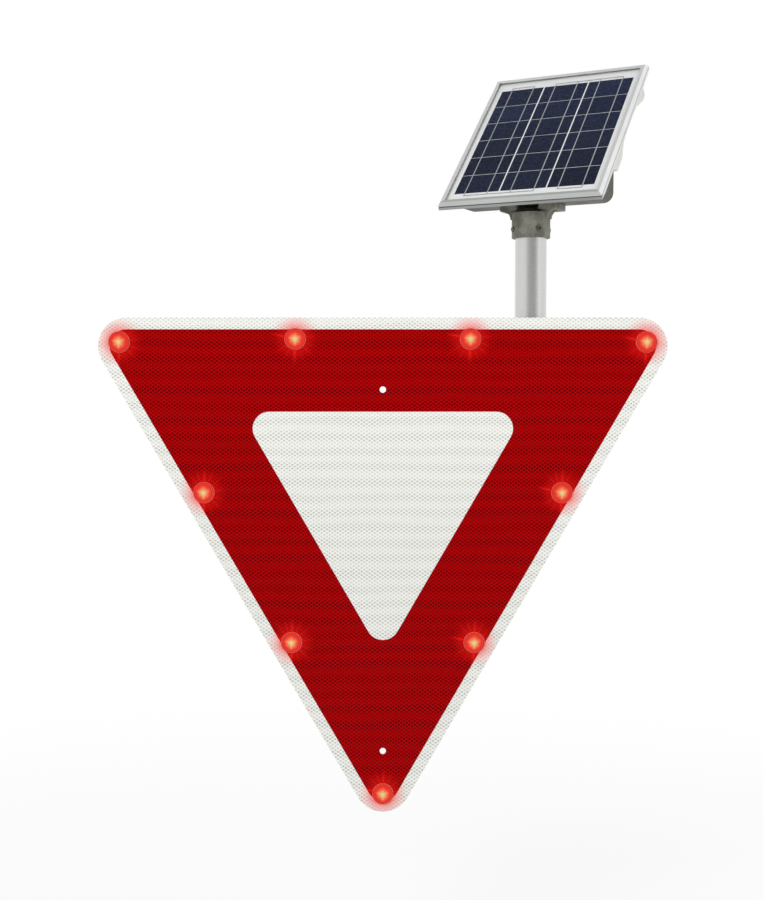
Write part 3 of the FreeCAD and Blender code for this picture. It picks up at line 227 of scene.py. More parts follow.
# What is polished mirrors a darker ceiling and a darker room before the sign: start, end, level at each
CEILING = (0.68, 0.92, 1.0, 0.52)
ROOM_SIDE = (0.06, -0.998, 0.0)
ROOM = (0.58, 1.0, 1.0, 0.32)


# Nodes

class Wiring:
    """Places shader nodes in one tree and joins them."""

    def __init__(self, tree):
        self.tree = tree

    def node(self, kind, **settings):
        made = self.tree.nodes.new(kind)
        for name, value in settings.items():
            setattr(made, name, value)
        return made

    def feed(self, socket, value):
        """Links a socket to another one, or sets it to a plain value."""
        if isinstance(value, bpy.types.NodeSocket):
            self.tree.links.new(value, socket)
        else:
            socket.default_value = value

    def calc(self, operation, *values):
        made = self.node("ShaderNodeMath", operation=operation)
        for socket, value in zip(made.inputs, values):
            self.feed(socket, value)
        return made.outputs[0]

    def vector(self, operation, *values):
        made = self.node("ShaderNodeVectorMath", operation=operation)
        sockets = (made.inputs[0], made.inputs["Scale"]) if operation == "SCALE" else made.inputs
        for socket, value in zip(sockets, values):
            self.feed(socket, value)
        return made.outputs["Value" if operation in ("LENGTH", "DISTANCE", "DOT_PRODUCT") else "Vector"]

    def ramp(self, value, start, stop, low=0.0, high=1.0):
        """Carries start..stop to low..high on a smooth curve, held at both ends."""
        made = self.node("ShaderNodeMapRange", interpolation_type="SMOOTHSTEP")
        for socket, number in zip(made.inputs, (value, start, stop, low, high)):
            self.feed(socket, number)
        return made.outputs[0]

    def mix(self, factor, first, second):
        made = self.node("ShaderNodeMix", data_type="RGBA")
        self.feed(made.inputs["Factor"], factor)
        self.feed(made.inputs["A"], first)
        self.feed(made.inputs["B"], second)
        return made.outputs["Result"]

    def noise(self, vector, scale, detail, roughness=0.5):
        made = self.node("ShaderNodeTexNoise")
        self.feed(made.inputs["Vector"], vector)
        self.feed(made.inputs["Scale"], scale)
        self.feed(made.inputs["Detail"], detail)
        self.feed(made.inputs["Roughness"], roughness)
        return made.outputs["Fac"]

    def axes(self, vector):
        made = self.node("ShaderNodeSeparateXYZ")
        self.feed(made.inputs[0], vector)
        return made.outputs

    def combine(self, x, y, z=0.0):
        made = self.node("ShaderNodeCombineXYZ")
        for socket, value in zip(made.inputs, (x, y, z)):
            self.feed(socket, value)
        return made.outputs[0]

    def group(self, name, **values):
        """A shared effect, with a value or a link for each of its inputs."""
        made = self.node("ShaderNodeGroup", node_tree=bpy.data.node_groups[name])
        for label, value in values.items():
            self.feed(made.inputs[label], value)
        return made.outputs

    def place(self):
        """Object coordinates, which are the frame's own because every piece has its place applied."""
        return self.node("ShaderNodeTexCoord").outputs["Object"]

    def moved_place(self, location, rotation=(0.0, 0.0, 0.0)):
        """Object coordinates seen from a frame of the piece's own."""
        made = self.node("ShaderNodeMapping", vector_type="TEXTURE")
        self.feed(made.inputs["Vector"], self.place())
        self.feed(made.inputs["Location"], location)
        self.feed(made.inputs["Rotation"], rotation)
        return made.outputs[0]

    def bump(self, shader, height, distance):
        made = self.node("ShaderNodeBump")
        self.feed(made.inputs["Distance"], distance)
        self.feed(made.inputs["Height"], height)
        self.feed(shader.inputs["Normal"], made.outputs[0])


def rgba(colour):
    return (colour[0], colour[1], colour[2], 1.0)


def shaded(colour, factor):
    return rgba([channel * factor for channel in colour])


def group_wiring(name, inputs, outputs):
    """A new node group with its named sockets; gives its wiring and its two end nodes."""
    tree = bpy.data.node_groups.new(name, "ShaderNodeTree")
    for label, kind, value in inputs:
        socket = tree.interface.new_socket(name=label, in_out="INPUT", socket_type=kind)
        if value is not None:
            socket.default_value = value
    for label, kind in outputs:
        tree.interface.new_socket(name=label, in_out="OUTPUT", socket_type=kind)
    wiring = Wiring(tree)
    return wiring, wiring.node("NodeGroupInput").outputs, wiring.node("NodeGroupOutput").inputs


def build_mottle():
    """Broad and fine unevenness of tone, 0 to 1."""
    w, given, out = group_wiring(
        "Mottle", [("Vector", "NodeSocketVector", None), ("Scale", "NodeSocketFloat", 18.0)],
        [("Value", "NodeSocketFloat")])
    broad = w.noise(given["Vector"], given["Scale"], 2.0)
    fine = w.noise(given["Vector"], w.calc("MULTIPLY", given["Scale"], 9.0), 4.0, 0.6)
    both = w.calc("ADD", w.calc("MULTIPLY", broad, 0.65), w.calc("MULTIPLY", fine, 0.35))
    w.feed(out["Value"], w.ramp(both, 0.30, 0.70))


def build_grain():
    """Fine surface grain; Stretch draws it out along an axis."""
    w, given, out = group_wiring(
        "Grain", [("Vector", "NodeSocketVector", None), ("Scale", "NodeSocketFloat", 900.0),
                  ("Stretch", "NodeSocketVector", (1.0, 1.0, 1.0))],
        [("Height", "NodeSocketFloat")])
    drawn = w.vector("MULTIPLY", given["Vector"], given["Stretch"])
    w.feed(out["Height"], w.noise(drawn, given["Scale"], 5.0, 0.6))


def build_scuffs():
    """Sparse thin scratches and rubbed patches, 0 to 1."""
    w, given, out = group_wiring(
        "Scuffs", [("Vector", "NodeSocketVector", None), ("Scale", "NodeSocketFloat", 14.0)],
        [("Value", "NodeSocketFloat")])
    warp = w.node("ShaderNodeTexNoise")
    w.feed(warp.inputs["Vector"], given["Vector"])
    w.feed(warp.inputs["Scale"], given["Scale"])
    bent = w.vector("ADD", given["Vector"], w.vector("SCALE", warp.outputs["Color"], 0.05))
    cracks = w.node("ShaderNodeTexVoronoi", feature="DISTANCE_TO_EDGE")
    w.feed(cracks.inputs["Vector"], bent)
    w.feed(cracks.inputs["Scale"], w.calc("MULTIPLY", given["Scale"], 1.7))
    line = w.ramp(cracks.outputs["Distance"], 0.0, 0.012, 1.0, 0.0)
    patch = w.ramp(w.noise(given["Vector"], w.calc("MULTIPLY", given["Scale"], 0.8), 2.0), 0.55, 0.70)
    w.feed(out["Value"], w.calc("MULTIPLY", line, patch))


def build_prism_cells():
    """The diamond lattice of prismatic sheeting: a spot in each cell and a light line round it."""
    w, given, out = group_wiring(
        "Prism cells",
        [("Vector", "NodeSocketVector", None), ("Pitch", "NodeSocketFloat", 0.008),
         ("Row", "NodeSocketFloat", 0.0028), ("Band", "NodeSocketFloat", 0.023)],
        [("Spot", "NodeSocketFloat"), ("Line", "NodeSocketFloat"), ("Band", "NodeSocketFloat")])
    x, _, z = w.axes(given["Vector"])
    across = w.calc("DIVIDE", x, given["Pitch"])
    up = w.calc("DIVIDE", z, w.calc("MULTIPLY", given["Row"], 2.0))
    first = w.calc("PINGPONG", w.calc("ADD", across, up), 0.5)
    second = w.calc("PINGPONG", w.calc("SUBTRACT", across, up), 0.5)
    radius = w.vector("LENGTH", w.combine(first, second))
    w.feed(out["Spot"], w.ramp(radius, *SPOT_FADE))
    w.feed(out["Line"], w.ramp(w.calc("MAXIMUM", first, second), *LINE_RISE))
    drift = w.noise(w.vector("MULTIPLY", given["Vector"], (1.0, 1.0, 2.5)), 7.0, 2.0)
    phase = w.calc("ADD", w.calc("DIVIDE", w.calc("MULTIPLY", z, math.tau), given["Band"]),
                   w.calc("MULTIPLY", drift, 5.0))
    w.feed(out["Band"], w.ramp(w.calc("SINE", phase), -1.0, 1.0))


def build_lamp_rays():
    """Soft rays and fine streaks that run out from a lamp, from the place across it."""
    w, given, out = group_wiring("Lamp rays", [("Vector", "NodeSocketVector", None)],
                                 [("Soft", "NodeSocketFloat"), ("Fine", "NodeSocketFloat")])
    heading = w.vector("NORMALIZE", w.vector("MULTIPLY", given["Vector"], IN_FACE))
    for label, lobes in (("Soft", LAMP_RAYS), ("Fine", LAMP_STREAKS)):
        rays = 0.0
        for degrees, strength, sharpness in lobes:
            angle = math.radians(degrees)
            along = w.vector("DOT_PRODUCT", heading, (math.cos(angle), 0.0, math.sin(angle)))
            lobe = w.calc("POWER", w.calc("MAXIMUM", along, 0.0), sharpness)
            rays = w.calc("ADD", rays, w.calc("MULTIPLY", lobe, strength))
        w.feed(out[label], rays)


def build_lamp_halo():
    """How near the nearest lamp is: Wide and Tight fade round it, and Rays runs out from it."""
    w, given, out = group_wiring(
        "Lamp halo", [("Vector", "NodeSocketVector", None)],
        [("Wide", "NodeSocketFloat"), ("Tight", "NodeSocketFloat"), ("Rays", "NodeSocketFloat")])
    flat = w.vector("MULTIPLY", given["Vector"], IN_FACE)
    nearest = offset = None
    for number in LAMP_NUMBERS:
        centre = lamp_centre(number)
        this_offset = w.vector("SUBTRACT", flat, (centre.x, 0.0, centre.z))
        distance = w.vector("LENGTH", this_offset)
        if nearest is None:
            nearest, offset = distance, this_offset
            continue
        # A mix node has its A, B and Result once for each kind of value: 4, 5 and 1 are those for vectors.
        pick = w.node("ShaderNodeMix", data_type="VECTOR")
        w.feed(pick.inputs["Factor"], w.calc("LESS_THAN", distance, nearest))
        w.feed(pick.inputs[4], offset)
        w.feed(pick.inputs[5], this_offset)
        offset = pick.outputs[1]
        nearest = w.calc("MINIMUM", nearest, distance)
    w.feed(out["Wide"], w.ramp(nearest, *WIDE_HALO))
    w.feed(out["Tight"], w.ramp(nearest, *TIGHT_HALO))
    rays = w.group("Lamp rays", Vector=offset)
    soft = w.calc("MULTIPLY", rays["Soft"], w.ramp(nearest, *SOFT_OUTSIDE))
    fine = w.calc("MULTIPLY", rays["Fine"], w.ramp(nearest, *FINE_OUTSIDE))
    w.feed(out["Rays"], w.calc("ADD", soft, fine))


def build_lamp_face():
    """The lit lens, from the distance to its axis, with soft rays in it."""
    w, given, out = group_wiring(
        "Lamp face", [("Vector", "NodeSocketVector", None)],
        [("Colour", "NodeSocketColor"), ("Glow", "NodeSocketColor")])
    radius = w.vector("LENGTH", w.vector("MULTIPLY", given["Vector"], IN_FACE))
    rays = w.group("Lamp rays", Vector=given["Vector"])
    soft = w.calc("MULTIPLY", rays["Soft"], w.ramp(radius, *SOFT_IN_LENS))
    fine = w.calc("MULTIPLY", rays["Fine"], w.ramp(radius, *FINE_IN_LENS))
    spread = w.calc("ADD", w.calc("ADD", soft, 1.0), fine)
    share = w.calc("DIVIDE", w.calc("DIVIDE", radius, LENS_R), spread)
    for label, stops in (("Colour", LENS_STOPS), ("Glow", GLOW_STOPS)):
        made = w.node("ShaderNodeValToRGB")
        w.feed(made.inputs[0], share)
        elements = made.color_ramp.elements
        while len(elements) < len(stops):
            elements.new(0.5)
        for element, (position, colour) in zip(elements, stops):
            element.position = position
            element.color = rgba(colour)
        w.feed(out[label], made.outputs[0])


# Materials

def principled(name, colour, roughness, metallic=0.0, coat=0.0):
    """A material with one Principled shader; gives the material, its wiring and the shader."""
    material = bpy.data.materials.new(name)
    material.use_nodes = True
    shader = material.node_tree.nodes["Principled BSDF"]
    for label, value in (("Base Color", rgba(colour)), ("Roughness", roughness), ("Metallic", metallic),
                         ("Coat Weight", coat), ("Coat Roughness", COAT_ROUGHNESS)):
        shader.inputs[label].default_value = value
    return material, Wiring(material.node_tree), shader


def worked_finish(name, colour, roughness, metallic, coat, tone, tone_scale, grain, stretch, depth, scuff,
                  shine=0.5, drawn=False):
    """A solid finish with uneven tone, grain and scuffs. Drawn metal has its tone in streaks too."""
    material, w, shader = principled(name, colour, roughness, metallic, coat)
    shader.inputs["Specular IOR Level"].default_value = shine
    place = w.place()
    toned = w.vector("MULTIPLY", place, stretch) if drawn else place
    mottle = w.group("Mottle", Vector=toned, Scale=tone_scale)["Value"]
    tinted = w.mix(mottle, shaded(colour, 1.0 - tone), shaded(colour, 1.0 + tone))
    rough = w.ramp(mottle, 0.0, 1.0, min(roughness + 0.07, 1.0), max(roughness - 0.05, 0.02))
    if scuff:
        marks = w.group("Scuffs", Vector=place, Scale=tone_scale)["Value"]
        marks = w.calc("MULTIPLY", marks, scuff)
        tinted = w.mix(marks, tinted, shaded(colour, 1.5))
    w.feed(shader.inputs["Base Color"], tinted)
    w.feed(shader.inputs["Roughness"], rough)
    height = w.group("Grain", Vector=place, Scale=grain, Stretch=stretch)["Height"]
    w.bump(shader, height, depth * MM)
    return material


WORKED = "worked_"
EVEN = (1.0, 1.0, 1.0)

# Slot: colour, roughness, metallic, coat, tone, tone scale, grain scale, stretch, grain depth in mm, scuff,
# and where they differ from the usual, shine and drawn
FINISHES = {
    "blade_aluminium": ((0.56, 0.57, 0.58), 0.42, 1.0, 0.0, 0.10, 9.0, 160.0, (12.0, 1.0, 0.6), 0.02, 0.6),
    "lamp_body": ((0.030, 0.030, 0.033), 0.45, 0.0, 0.0, 0.2, 60.0, 1800.0, EVEN, 0.02, 0.0),
    "lamp_emitter": ((0.80, 0.75, 0.40), 0.20, 0.0, 0.6, 0.05, 60.0, 900.0, EVEN, 0.01, 0.0),
    "lamp_nut": ((0.028, 0.028, 0.030), 0.48, 0.0, 0.0, 0.2, 60.0, 1800.0, EVEN, 0.03, 0.0),
    "mast": ((0.65, 0.65, 0.64), 0.28, 0.9, 0.0, 0.07, 5.0, 240.0, (10.0, 10.0, 0.2), 0.002, 0.2, 0.5, True),
    "plug": ((0.022, 0.022, 0.023), 0.50, 0.0, 0.0, 0.2, 50.0, 1500.0, EVEN, 0.03, 0.0),
    "stainless": ((0.55, 0.55, 0.56), 0.28, 1.0, 0.0, 0.06, 40.0, 500.0, (1.0, 8.0, 1.0), 0.01, 0.4),
    "tape": ((0.035, 0.035, 0.038), 0.85, 0.0, 0.0, 0.15, 90.0, 2500.0, EVEN, 0.05, 0.0),
    "cast_fitter": ((0.184, 0.182, 0.150), 0.66, 0.10, 0.0, 0.42, 45.0, 700.0, EVEN, 0.16, 0.0, 0.4),
    "screw_steel": ((0.17, 0.165, 0.15), 0.24, 1.0, 0.0, 0.2, 90.0, 1500.0, EVEN, 0.02, 0.0),
    "box_paint": ((0.072, 0.077, 0.056), 0.50, 0.0, 0.0, 0.10, 20.0, 900.0, EVEN, 0.06, 0.0, 0.25),
    "gasket": ((0.020, 0.020, 0.020), 0.80, 0.0, 0.0, 0.15, 90.0, 1800.0, EVEN, 0.04, 0.0),
    "sheet_aluminium": ((0.60, 0.61, 0.61), 0.38, 1.0, 0.0, 0.07, 18.0, 240.0, (1.0, 9.0, 9.0), 0.015, 0.5),
    "rail_paint": ((0.72, 0.72, 0.65), 0.45, 0.0, 0.20, 0.04, 20.0, 900.0, EVEN, 0.03, 0.1),
    "battery_sleeve": ((0.02, 0.07, 0.20), 0.30, 0.0, 0.2, 0.1, 60.0, 900.0, EVEN, 0.01, 0.0),
    "circuit_board": ((0.012, 0.10, 0.035), 0.35, 0.0, 0.3, 0.15, 200.0, 2500.0, EVEN, 0.02, 0.0),
    "black_rubber": ((0.018, 0.018, 0.018), 0.65, 0.0, 0.0, 0.15, 90.0, 1500.0, EVEN, 0.03, 0.0),
    "black_nylon": ((0.022, 0.022, 0.024), 0.42, 0.0, 0.0, 0.18, 60.0, 1600.0, EVEN, 0.03, 0.0),
    "frame_anodised": ((0.85, 0.865, 0.855), 0.38, 0.85, 0.0, 0.03, 16.0, 300.0, EVEN, 0.006, 0.10),
    "corner_key": ((0.03, 0.03, 0.03), 0.5, 0.0, 0.0, 0.1, 60.0, 1500.0, EVEN, 0.02, 0.0),
    "ribbon": ((0.52, 0.53, 0.54), 0.40, 0.5, 0.2, 0.05, 60.0, 900.0, EVEN, 0.01, 0.0),
    "backsheet": ((0.90, 0.90, 0.90), 0.45, 0.0, 0.1, 0.02, 30.0, 900.0, EVEN, 0.01, 0.0),
}


def finish(slot):
    """The worked finish of a material slot."""
    return bpy.data.materials[WORKED + slot]


def sheeting_finish(name, colour, settings, spot, spot_share, line, halo, halo_share, light):
    """Prismatic sheeting: lattice, bands, and the lamps' halo and rays painted on as light."""
    material, w, shader = principled(name, colour, 0.40)
    shader.inputs["Specular IOR Level"].default_value = settings.gloss
    place = w.place()
    cells = w.group("Prism cells", Vector=place, Pitch=settings.cell_pitch, Row=settings.cell_row,
                    Band=settings.band_pitch)
    depth = w.calc("ADD", w.calc("MULTIPLY", cells["Band"], SPOT_IN_BAND), 1.0 - SPOT_IN_BAND)
    depth = w.calc("MULTIPLY", depth, spot_share)
    mottle = w.group("Mottle", Vector=place, Scale=3.0)["Value"]
    tone = w.calc("ADD", w.calc("MULTIPLY", mottle, 0.3), w.ramp(w.axes(place)[2], *LIGHTER_ABOVE))
    base = w.mix(tone, shaded(colour, 0.86), shaded(colour, 1.02))
    base = w.mix(w.calc("MULTIPLY", cells["Band"], BAND_SHARE), base, rgba(spot))
    base = w.mix(w.calc("MULTIPLY", cells["Line"], LINE_SHARE), base, rgba(line))
    base = w.mix(w.calc("MULTIPLY", cells["Spot"], depth), base, rgba(spot))
    # Painted light: a halo round each lamp mixed into the base colour, and a glow with rays as emission
    lamps = w.group("Lamp halo", Vector=place)
    near = w.calc("MULTIPLY", w.calc("POWER", lamps["Wide"], HALO_POWER), halo_share)
    base = w.mix(near, base, rgba(halo))
    w.feed(shader.inputs["Base Color"], base)
    lit = w.calc("ADD", w.calc("MULTIPLY", lamps["Tight"], TIGHT_LIGHT),
                 w.calc("MULTIPLY", lamps["Rays"], RAY_LIGHT))
    w.feed(shader.inputs["Emission Color"], w.mix(lit, rgba((0, 0, 0)), rgba(light)))
    shader.inputs["Emission Strength"].default_value = 1.0
    w.feed(shader.inputs["Roughness"], w.ramp(cells["Spot"], 0.0, 1.0, 0.26, 0.42))
    w.bump(shader, cells["Line"], LINE_HEIGHT_MM * MM)
    return material


def lens_finish(number):
    """A lit lens, with its rays about the lamp's own axis."""
    material, w, shader = principled("lit_lens_%d" % number, (0.5, 0.02, 0.01), 0.30)
    shader.inputs["Specular IOR Level"].default_value = 0.12
    centre = lamp_centre(number)
    face = w.group("Lamp face", Vector=w.moved_place((centre.x, 0.0, centre.z)))
    w.feed(shader.inputs["Base Color"], face["Colour"])
    w.feed(shader.inputs["Emission Color"], face["Glow"])
    shader.inputs["Emission Strength"].default_value = 1.0
    return material


def cell_finish(settings):
    """Polycrystalline silicon: grains, fine fingers, a different tone on each cell, and a painted sky
    reflection that grows towards the top of the panel.
    """
    material, w, shader = principled("silicon_cell", settings.cell_blue, 0.36)
    shader.inputs["Specular IOR Level"].default_value = 0.05
    place = w.moved_place(PANEL_ORIGIN, PANEL_TURN)
    u, s, _ = w.axes(place)
    grains = w.node("ShaderNodeTexVoronoi")
    w.feed(grains.inputs["Vector"], place)
    w.feed(grains.inputs["Scale"], SILICON_GRAINS)
    grain = w.axes(grains.outputs["Color"])[0]
    from_side = w.calc("ADD", u, CELL_COLUMNS / 2 * CELL_PITCH[0])
    column = w.calc("FLOOR", w.calc("DIVIDE", from_side, CELL_PITCH[0]))
    row = w.calc("FLOOR", w.calc("DIVIDE", w.calc("SUBTRACT", s, FIRST_CELL_ROW), CELL_PITCH[1]))
    own = w.node("ShaderNodeTexWhiteNoise", noise_dimensions="2D")
    w.feed(own.inputs["Vector"], w.combine(column, row))
    lift = w.calc("ADD", w.calc("MULTIPLY", grain, 0.30), w.calc("MULTIPLY", own.outputs["Value"], 0.70))
    blue = w.mix(lift, shaded(settings.cell_blue, 0.72), shaded(settings.cell_blue, 1.28))
    # Painted reflection: a pale sky blue that grows towards the top of the panel, stronger on some cells than
    # on others
    lit = w.calc("ADD", w.calc("MULTIPLY", own.outputs["Value"], 0.45), 0.35)
    blue = w.mix(w.calc("MULTIPLY", w.ramp(s, *SKY_REFLECTION_RISE), lit), blue, rgba(PAINTED_SKY_REFLECTION))
    fingers = w.ramp(w.calc("PINGPONG", w.calc("DIVIDE", s, FINGER_PITCH), 0.5), 0.0, 0.07, 1.0, 0.0)
    blue = w.mix(w.calc("MULTIPLY", fingers, 0.18), blue, rgba(FINGER_SILVER))
    w.feed(shader.inputs["Base Color"], blue)
    w.feed(shader.inputs["Roughness"], w.ramp(grain, 0.0, 1.0, 0.24, 0.38))
    return material


def groove_finish(settings):
    """Anodised frame with painted shade in its outer groove and in a band below it, and painted shade on its
    lower bar.
    """
    material = worked_finish("grooved_frame", *FINISHES["frame_anodised"])
    w = Wiring(material.node_tree)
    shader = material.node_tree.nodes["Principled BSDF"]
    unshaded = shader.inputs["Base Color"].links[0].from_socket
    u, s, n = w.axes(w.moved_place(PANEL_ORIGIN, PANEL_TURN))
    side = w.calc("SUBTRACT", w.calc("ABSOLUTE", u), PANEL_HALF_WIDTH)
    from_middle = w.calc("ABSOLUTE", w.calc("SUBTRACT", s, PANEL_HALF_HEIGHT))
    end = w.calc("SUBTRACT", from_middle, PANEL_HALF_HEIGHT)
    outside = w.ramp(w.calc("MAXIMUM", side, end), -0.0018, -0.0014)
    outside = w.calc("MULTIPLY", outside, w.ramp(s, 0.0015, 0.010, 1.0, 0.35))
    # Painted shade: darkest in the outer groove, a darker band below it, and the lower bar darker all over
    off_middle = w.calc("ABSOLUTE", w.calc("SUBTRACT", n, GROOVE_N))
    shade = w.calc("MULTIPLY", outside, w.ramp(off_middle, *GROOVE_HALF, settings.groove_shade, 0.0))
    below = w.ramp(n, *(GROOVE_N - step for step in BAND_EDGE), 0.62, 0.0)
    band = w.calc("MULTIPLY", outside, below)
    lower_bar = w.calc("LESS_THAN", s, w.calc("MULTIPLY", side, -1.0))
    bar_shaded = w.mix(w.calc("MULTIPLY", lower_bar, 0.65), unshaded, rgba(BAR_SHADE_COLOUR))
    band_shaded = w.mix(band, bar_shaded, rgba(BAND_SHADE_COLOUR))
    w.feed(shader.inputs["Base Color"], w.mix(shade, band_shaded, rgba(GROOVE_SHADE_COLOUR)))
    return material


def glass_finish():
    """Low-iron cover glass: clear, with a trace of green, and more gloss where it is seen at a slant."""
    material, w, shader = principled("cover_glass", (0.05, 0.075, 0.07), 0.04)
    shader.inputs["IOR"].default_value = 1.50
    slant = w.node("ShaderNodeLayerWeight").outputs["Facing"]
    w.feed(shader.inputs["Alpha"], w.ramp(slant, 0.45, 1.0, 0.02, 0.50))
    return material


# Pieces

def lamp_centre(number):
    """The middle of a lamp on the plane of the sheeting."""
    low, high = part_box("lamp_lens_%d" % number)
    return Vector(((low.x + high.x) / 2, high.y, (low.z + high.z) / 2))


def deselect():
    """Leaves edit mode and clears the selection."""
    if bpy.context.object and bpy.context.object.mode != "OBJECT":
        bpy.ops.object.mode_set(mode="OBJECT")
    bpy.ops.object.select_all(action="DESELECT")


def select_only(*objects):
    """Selects these objects and makes the first one active."""
    deselect()
    for each in objects:
        each.select_set(True)
    bpy.context.view_layer.objects.active = objects[0]


def named(name):
    """Names the piece that an operator has just added."""
    piece = bpy.context.view_layer.objects.active
    piece.name = name
    return piece


def apply_modifier(piece, kind, **settings):
    """Adds a modifier with these settings and applies it."""
    modifier = piece.modifiers.new(kind.title(), kind)
    for label, value in settings.items():
        setattr(modifier, label, value)
    select_only(piece)
    bpy.ops.object.modifier_apply(modifier=modifier.name)


def smooth(piece, angle):
    """Shades a piece smooth wherever its faces meet at less than an angle."""
    select_only(piece)
    bpy.ops.object.shade_smooth_by_angle(angle=angle)


def settle(piece, location, rotation=(0.0, 0.0, 0.0)):
    """Puts a piece in place and applies the place to its mesh."""
    select_only(piece)
    piece.location = location
    piece.rotation_euler = rotation
    bpy.ops.object.transform_apply(location=True, rotation=True, scale=True)


def dress(piece, material, node):
    """Gives a new piece its finish, and lets it stand for a node and ride on that node's body."""
    piece.data.materials.clear()
    piece.data.materials.append(material)
    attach(piece, BODY_OF[node])
    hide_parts(node)


def paint_node(node, material):
    """Gives a node of the frame its finish."""
    piece = frame["nodes"][node]
    if not piece.material_slots:
        piece.data.materials.append(material)
    for each in piece.material_slots:
        each.material = material


def lathe(name, profile, segments):
    """A closed turned piece about Z. Its profile of (radius, height) in mm ends at radius 0."""
    radius, height = profile[0]
    bpy.ops.mesh.primitive_circle_add(vertices=segments, radius=radius * MM, fill_type="NGON",
                                      location=(0.0, 0.0, height * MM))
    piece = named(name)
    settle(piece, piece.location.copy())
    bpy.ops.object.mode_set(mode="EDIT")
    bpy.ops.mesh.select_all(action="SELECT")
    for next_radius, next_height in profile[1:]:
        bpy.ops.mesh.extrude_region_move(
            TRANSFORM_OT_translate={"value": (0.0, 0.0, (next_height - height) * MM)})
        if next_radius <= 0.0:
            bpy.ops.mesh.merge(type="CENTER")
            break
        share = next_radius / radius
        bpy.ops.transform.resize(value=(share, share, 1.0), center_override=(0.0, 0.0, next_height * MM))
        radius, height = next_radius, next_height
    bpy.ops.mesh.select_all(action="SELECT")
    bpy.ops.mesh.normals_make_consistent(inside=False)
    bpy.ops.object.mode_set(mode="OBJECT")
    return piece


def softened(node, width, segments):
    """A copy of a node with its edges eased by a small bevel, width in mm."""
    source = frame["nodes"][node]
    select_only(source)
    bpy.ops.object.duplicate()
    piece = named(node + "_eased")
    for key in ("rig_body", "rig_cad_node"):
        if key in piece:
            del piece[key]
    piece.parent = None
    bpy.ops.object.mode_set(mode="EDIT")
    bpy.ops.mesh.select_all(action="SELECT")
    bpy.ops.mesh.remove_doubles(threshold=WELD)
    bpy.ops.mesh.dissolve_limited(angle_limit=FLAT_ANGLE)
    bpy.ops.object.mode_set(mode="OBJECT")
    apply_modifier(piece, "BEVEL", width=width * MM, segments=segments, limit_method="ANGLE",
                   angle_limit=EDGE_ANGLE, harden_normals=False, miter_outer="MITER_ARC")
    smooth(piece, SMOOTH_ANGLE)
    apply_modifier(piece, "WEIGHTED_NORMAL", mode="FACE_AREA", weight=100, keep_sharp=True)
    return piece


def ease(*nodes, segments=EDGE_SEGMENTS):
    """Lets an eased copy with its slot's finish stand for each node."""
    for node in nodes:
        dress(softened(node, EDGES[node], segments), finish(SLOT_OF[node]), node)


def islands(node):
    """The middle of each separate solid in a node."""
    probe = bmesh.new()
    probe.from_mesh(frame["nodes"][node].data)
    bmesh.ops.remove_doubles(probe, verts=probe.verts, dist=WELD)
    left = set(probe.verts)
    middles = []
    while left:
        front = [left.pop()]
        low, high = front[0].co.copy(), front[0].co.copy()
        while front:
            here = front.pop()
            low = Vector(map(min, low, here.co))
            high = Vector(map(max, high, here.co))
            for edge in here.link_edges:
                other = edge.other_vert(here)
                if other in left:
                    left.remove(other)
                    front.append(other)
        middles.append((low + high) / 2)
    probe.free()
    return sorted(middles, key=lambda middle: tuple(round(c, 5) for c in middle))


def repeated(name, template, places, rotation):
    """Copies a template to each place, joins the copies and drops the template."""
    copies = []
    for place in places:
        select_only(template)
        bpy.ops.object.duplicate()
        copy = named(name)
        settle(copy, place, rotation)
        copies.append(copy)
    select_only(*copies)
    if len(copies) > 1:
        bpy.ops.object.join()
    bpy.data.objects.remove(template)
    return copies[0]


def hexagon_nut(name, across_flats, thickness, bore):
    """A nut about Z with its middle at the origin, corners chamfered on both faces. Sizes in mm."""
    outer = across_flats / math.sqrt(3.0)
    bpy.ops.mesh.primitive_cylinder_add(vertices=6, radius=outer * MM, depth=thickness * MM)
    piece = named(name)
    drop = (outer - across_flats / 2) * NUT_CHAMFER_SLOPE
    face = across_flats / 2 * NUT_FACE_SHARE
    half = thickness / 2
    profile = ((face, -half), (outer, -half + drop), (outer, half - drop), (face, half), (0.0, half))
    cone = lathe(name + "_cone", profile, NUT_SIDES)
    apply_modifier(piece, "BOOLEAN", operation="INTERSECT", object=cone, solver="EXACT")
    bpy.data.objects.remove(cone)
    deselect()
    bpy.ops.mesh.primitive_cylinder_add(vertices=BORE_SIDES, radius=bore * MM, depth=thickness * 2 * MM)
    hole = named(name + "_hole")
    apply_modifier(piece, "BOOLEAN", operation="DIFFERENCE", object=hole, solver="EXACT")
    bpy.data.objects.remove(hole)
    apply_modifier(piece, "BEVEL", width=NUT_EDGE * MM, segments=1, limit_method="ANGLE",
                   angle_limit=NUT_EDGE_ANGLE)
    smooth(piece, NUT_SMOOTH_ANGLE)
    return piece


def screw_thread(name, radius, depth, pitch, start, end, steps):
    """A helical ridge about Z between two heights, in mm, to join to a core just thicker than its root."""
    deselect()
    bpy.ops.mesh.primitive_circle_add(vertices=4, radius=depth * MM)
    piece = named(name)
    bpy.ops.object.mode_set(mode="EDIT")
    bpy.ops.mesh.select_all(action="SELECT")
    bpy.ops.transform.rotate(value=math.radians(90.0), orient_axis="X", center_override=(0.0, 0.0, 0.0))
    bpy.ops.transform.resize(value=(1.0, 1.0, pitch * THREAD_FILL / depth), center_override=(0.0, 0.0, 0.0))
    bpy.ops.transform.translate(value=((radius - depth) * MM, 0.0, start * MM))
    bpy.ops.object.mode_set(mode="OBJECT")
    apply_modifier(piece, "SCREW", axis="Z", angle=math.tau, screw_offset=pitch * MM, steps=steps,
                   render_steps=steps, iterations=int((end - start) / pitch), use_merge_vertices=True,
                   merge_threshold=WELD)
    return piece


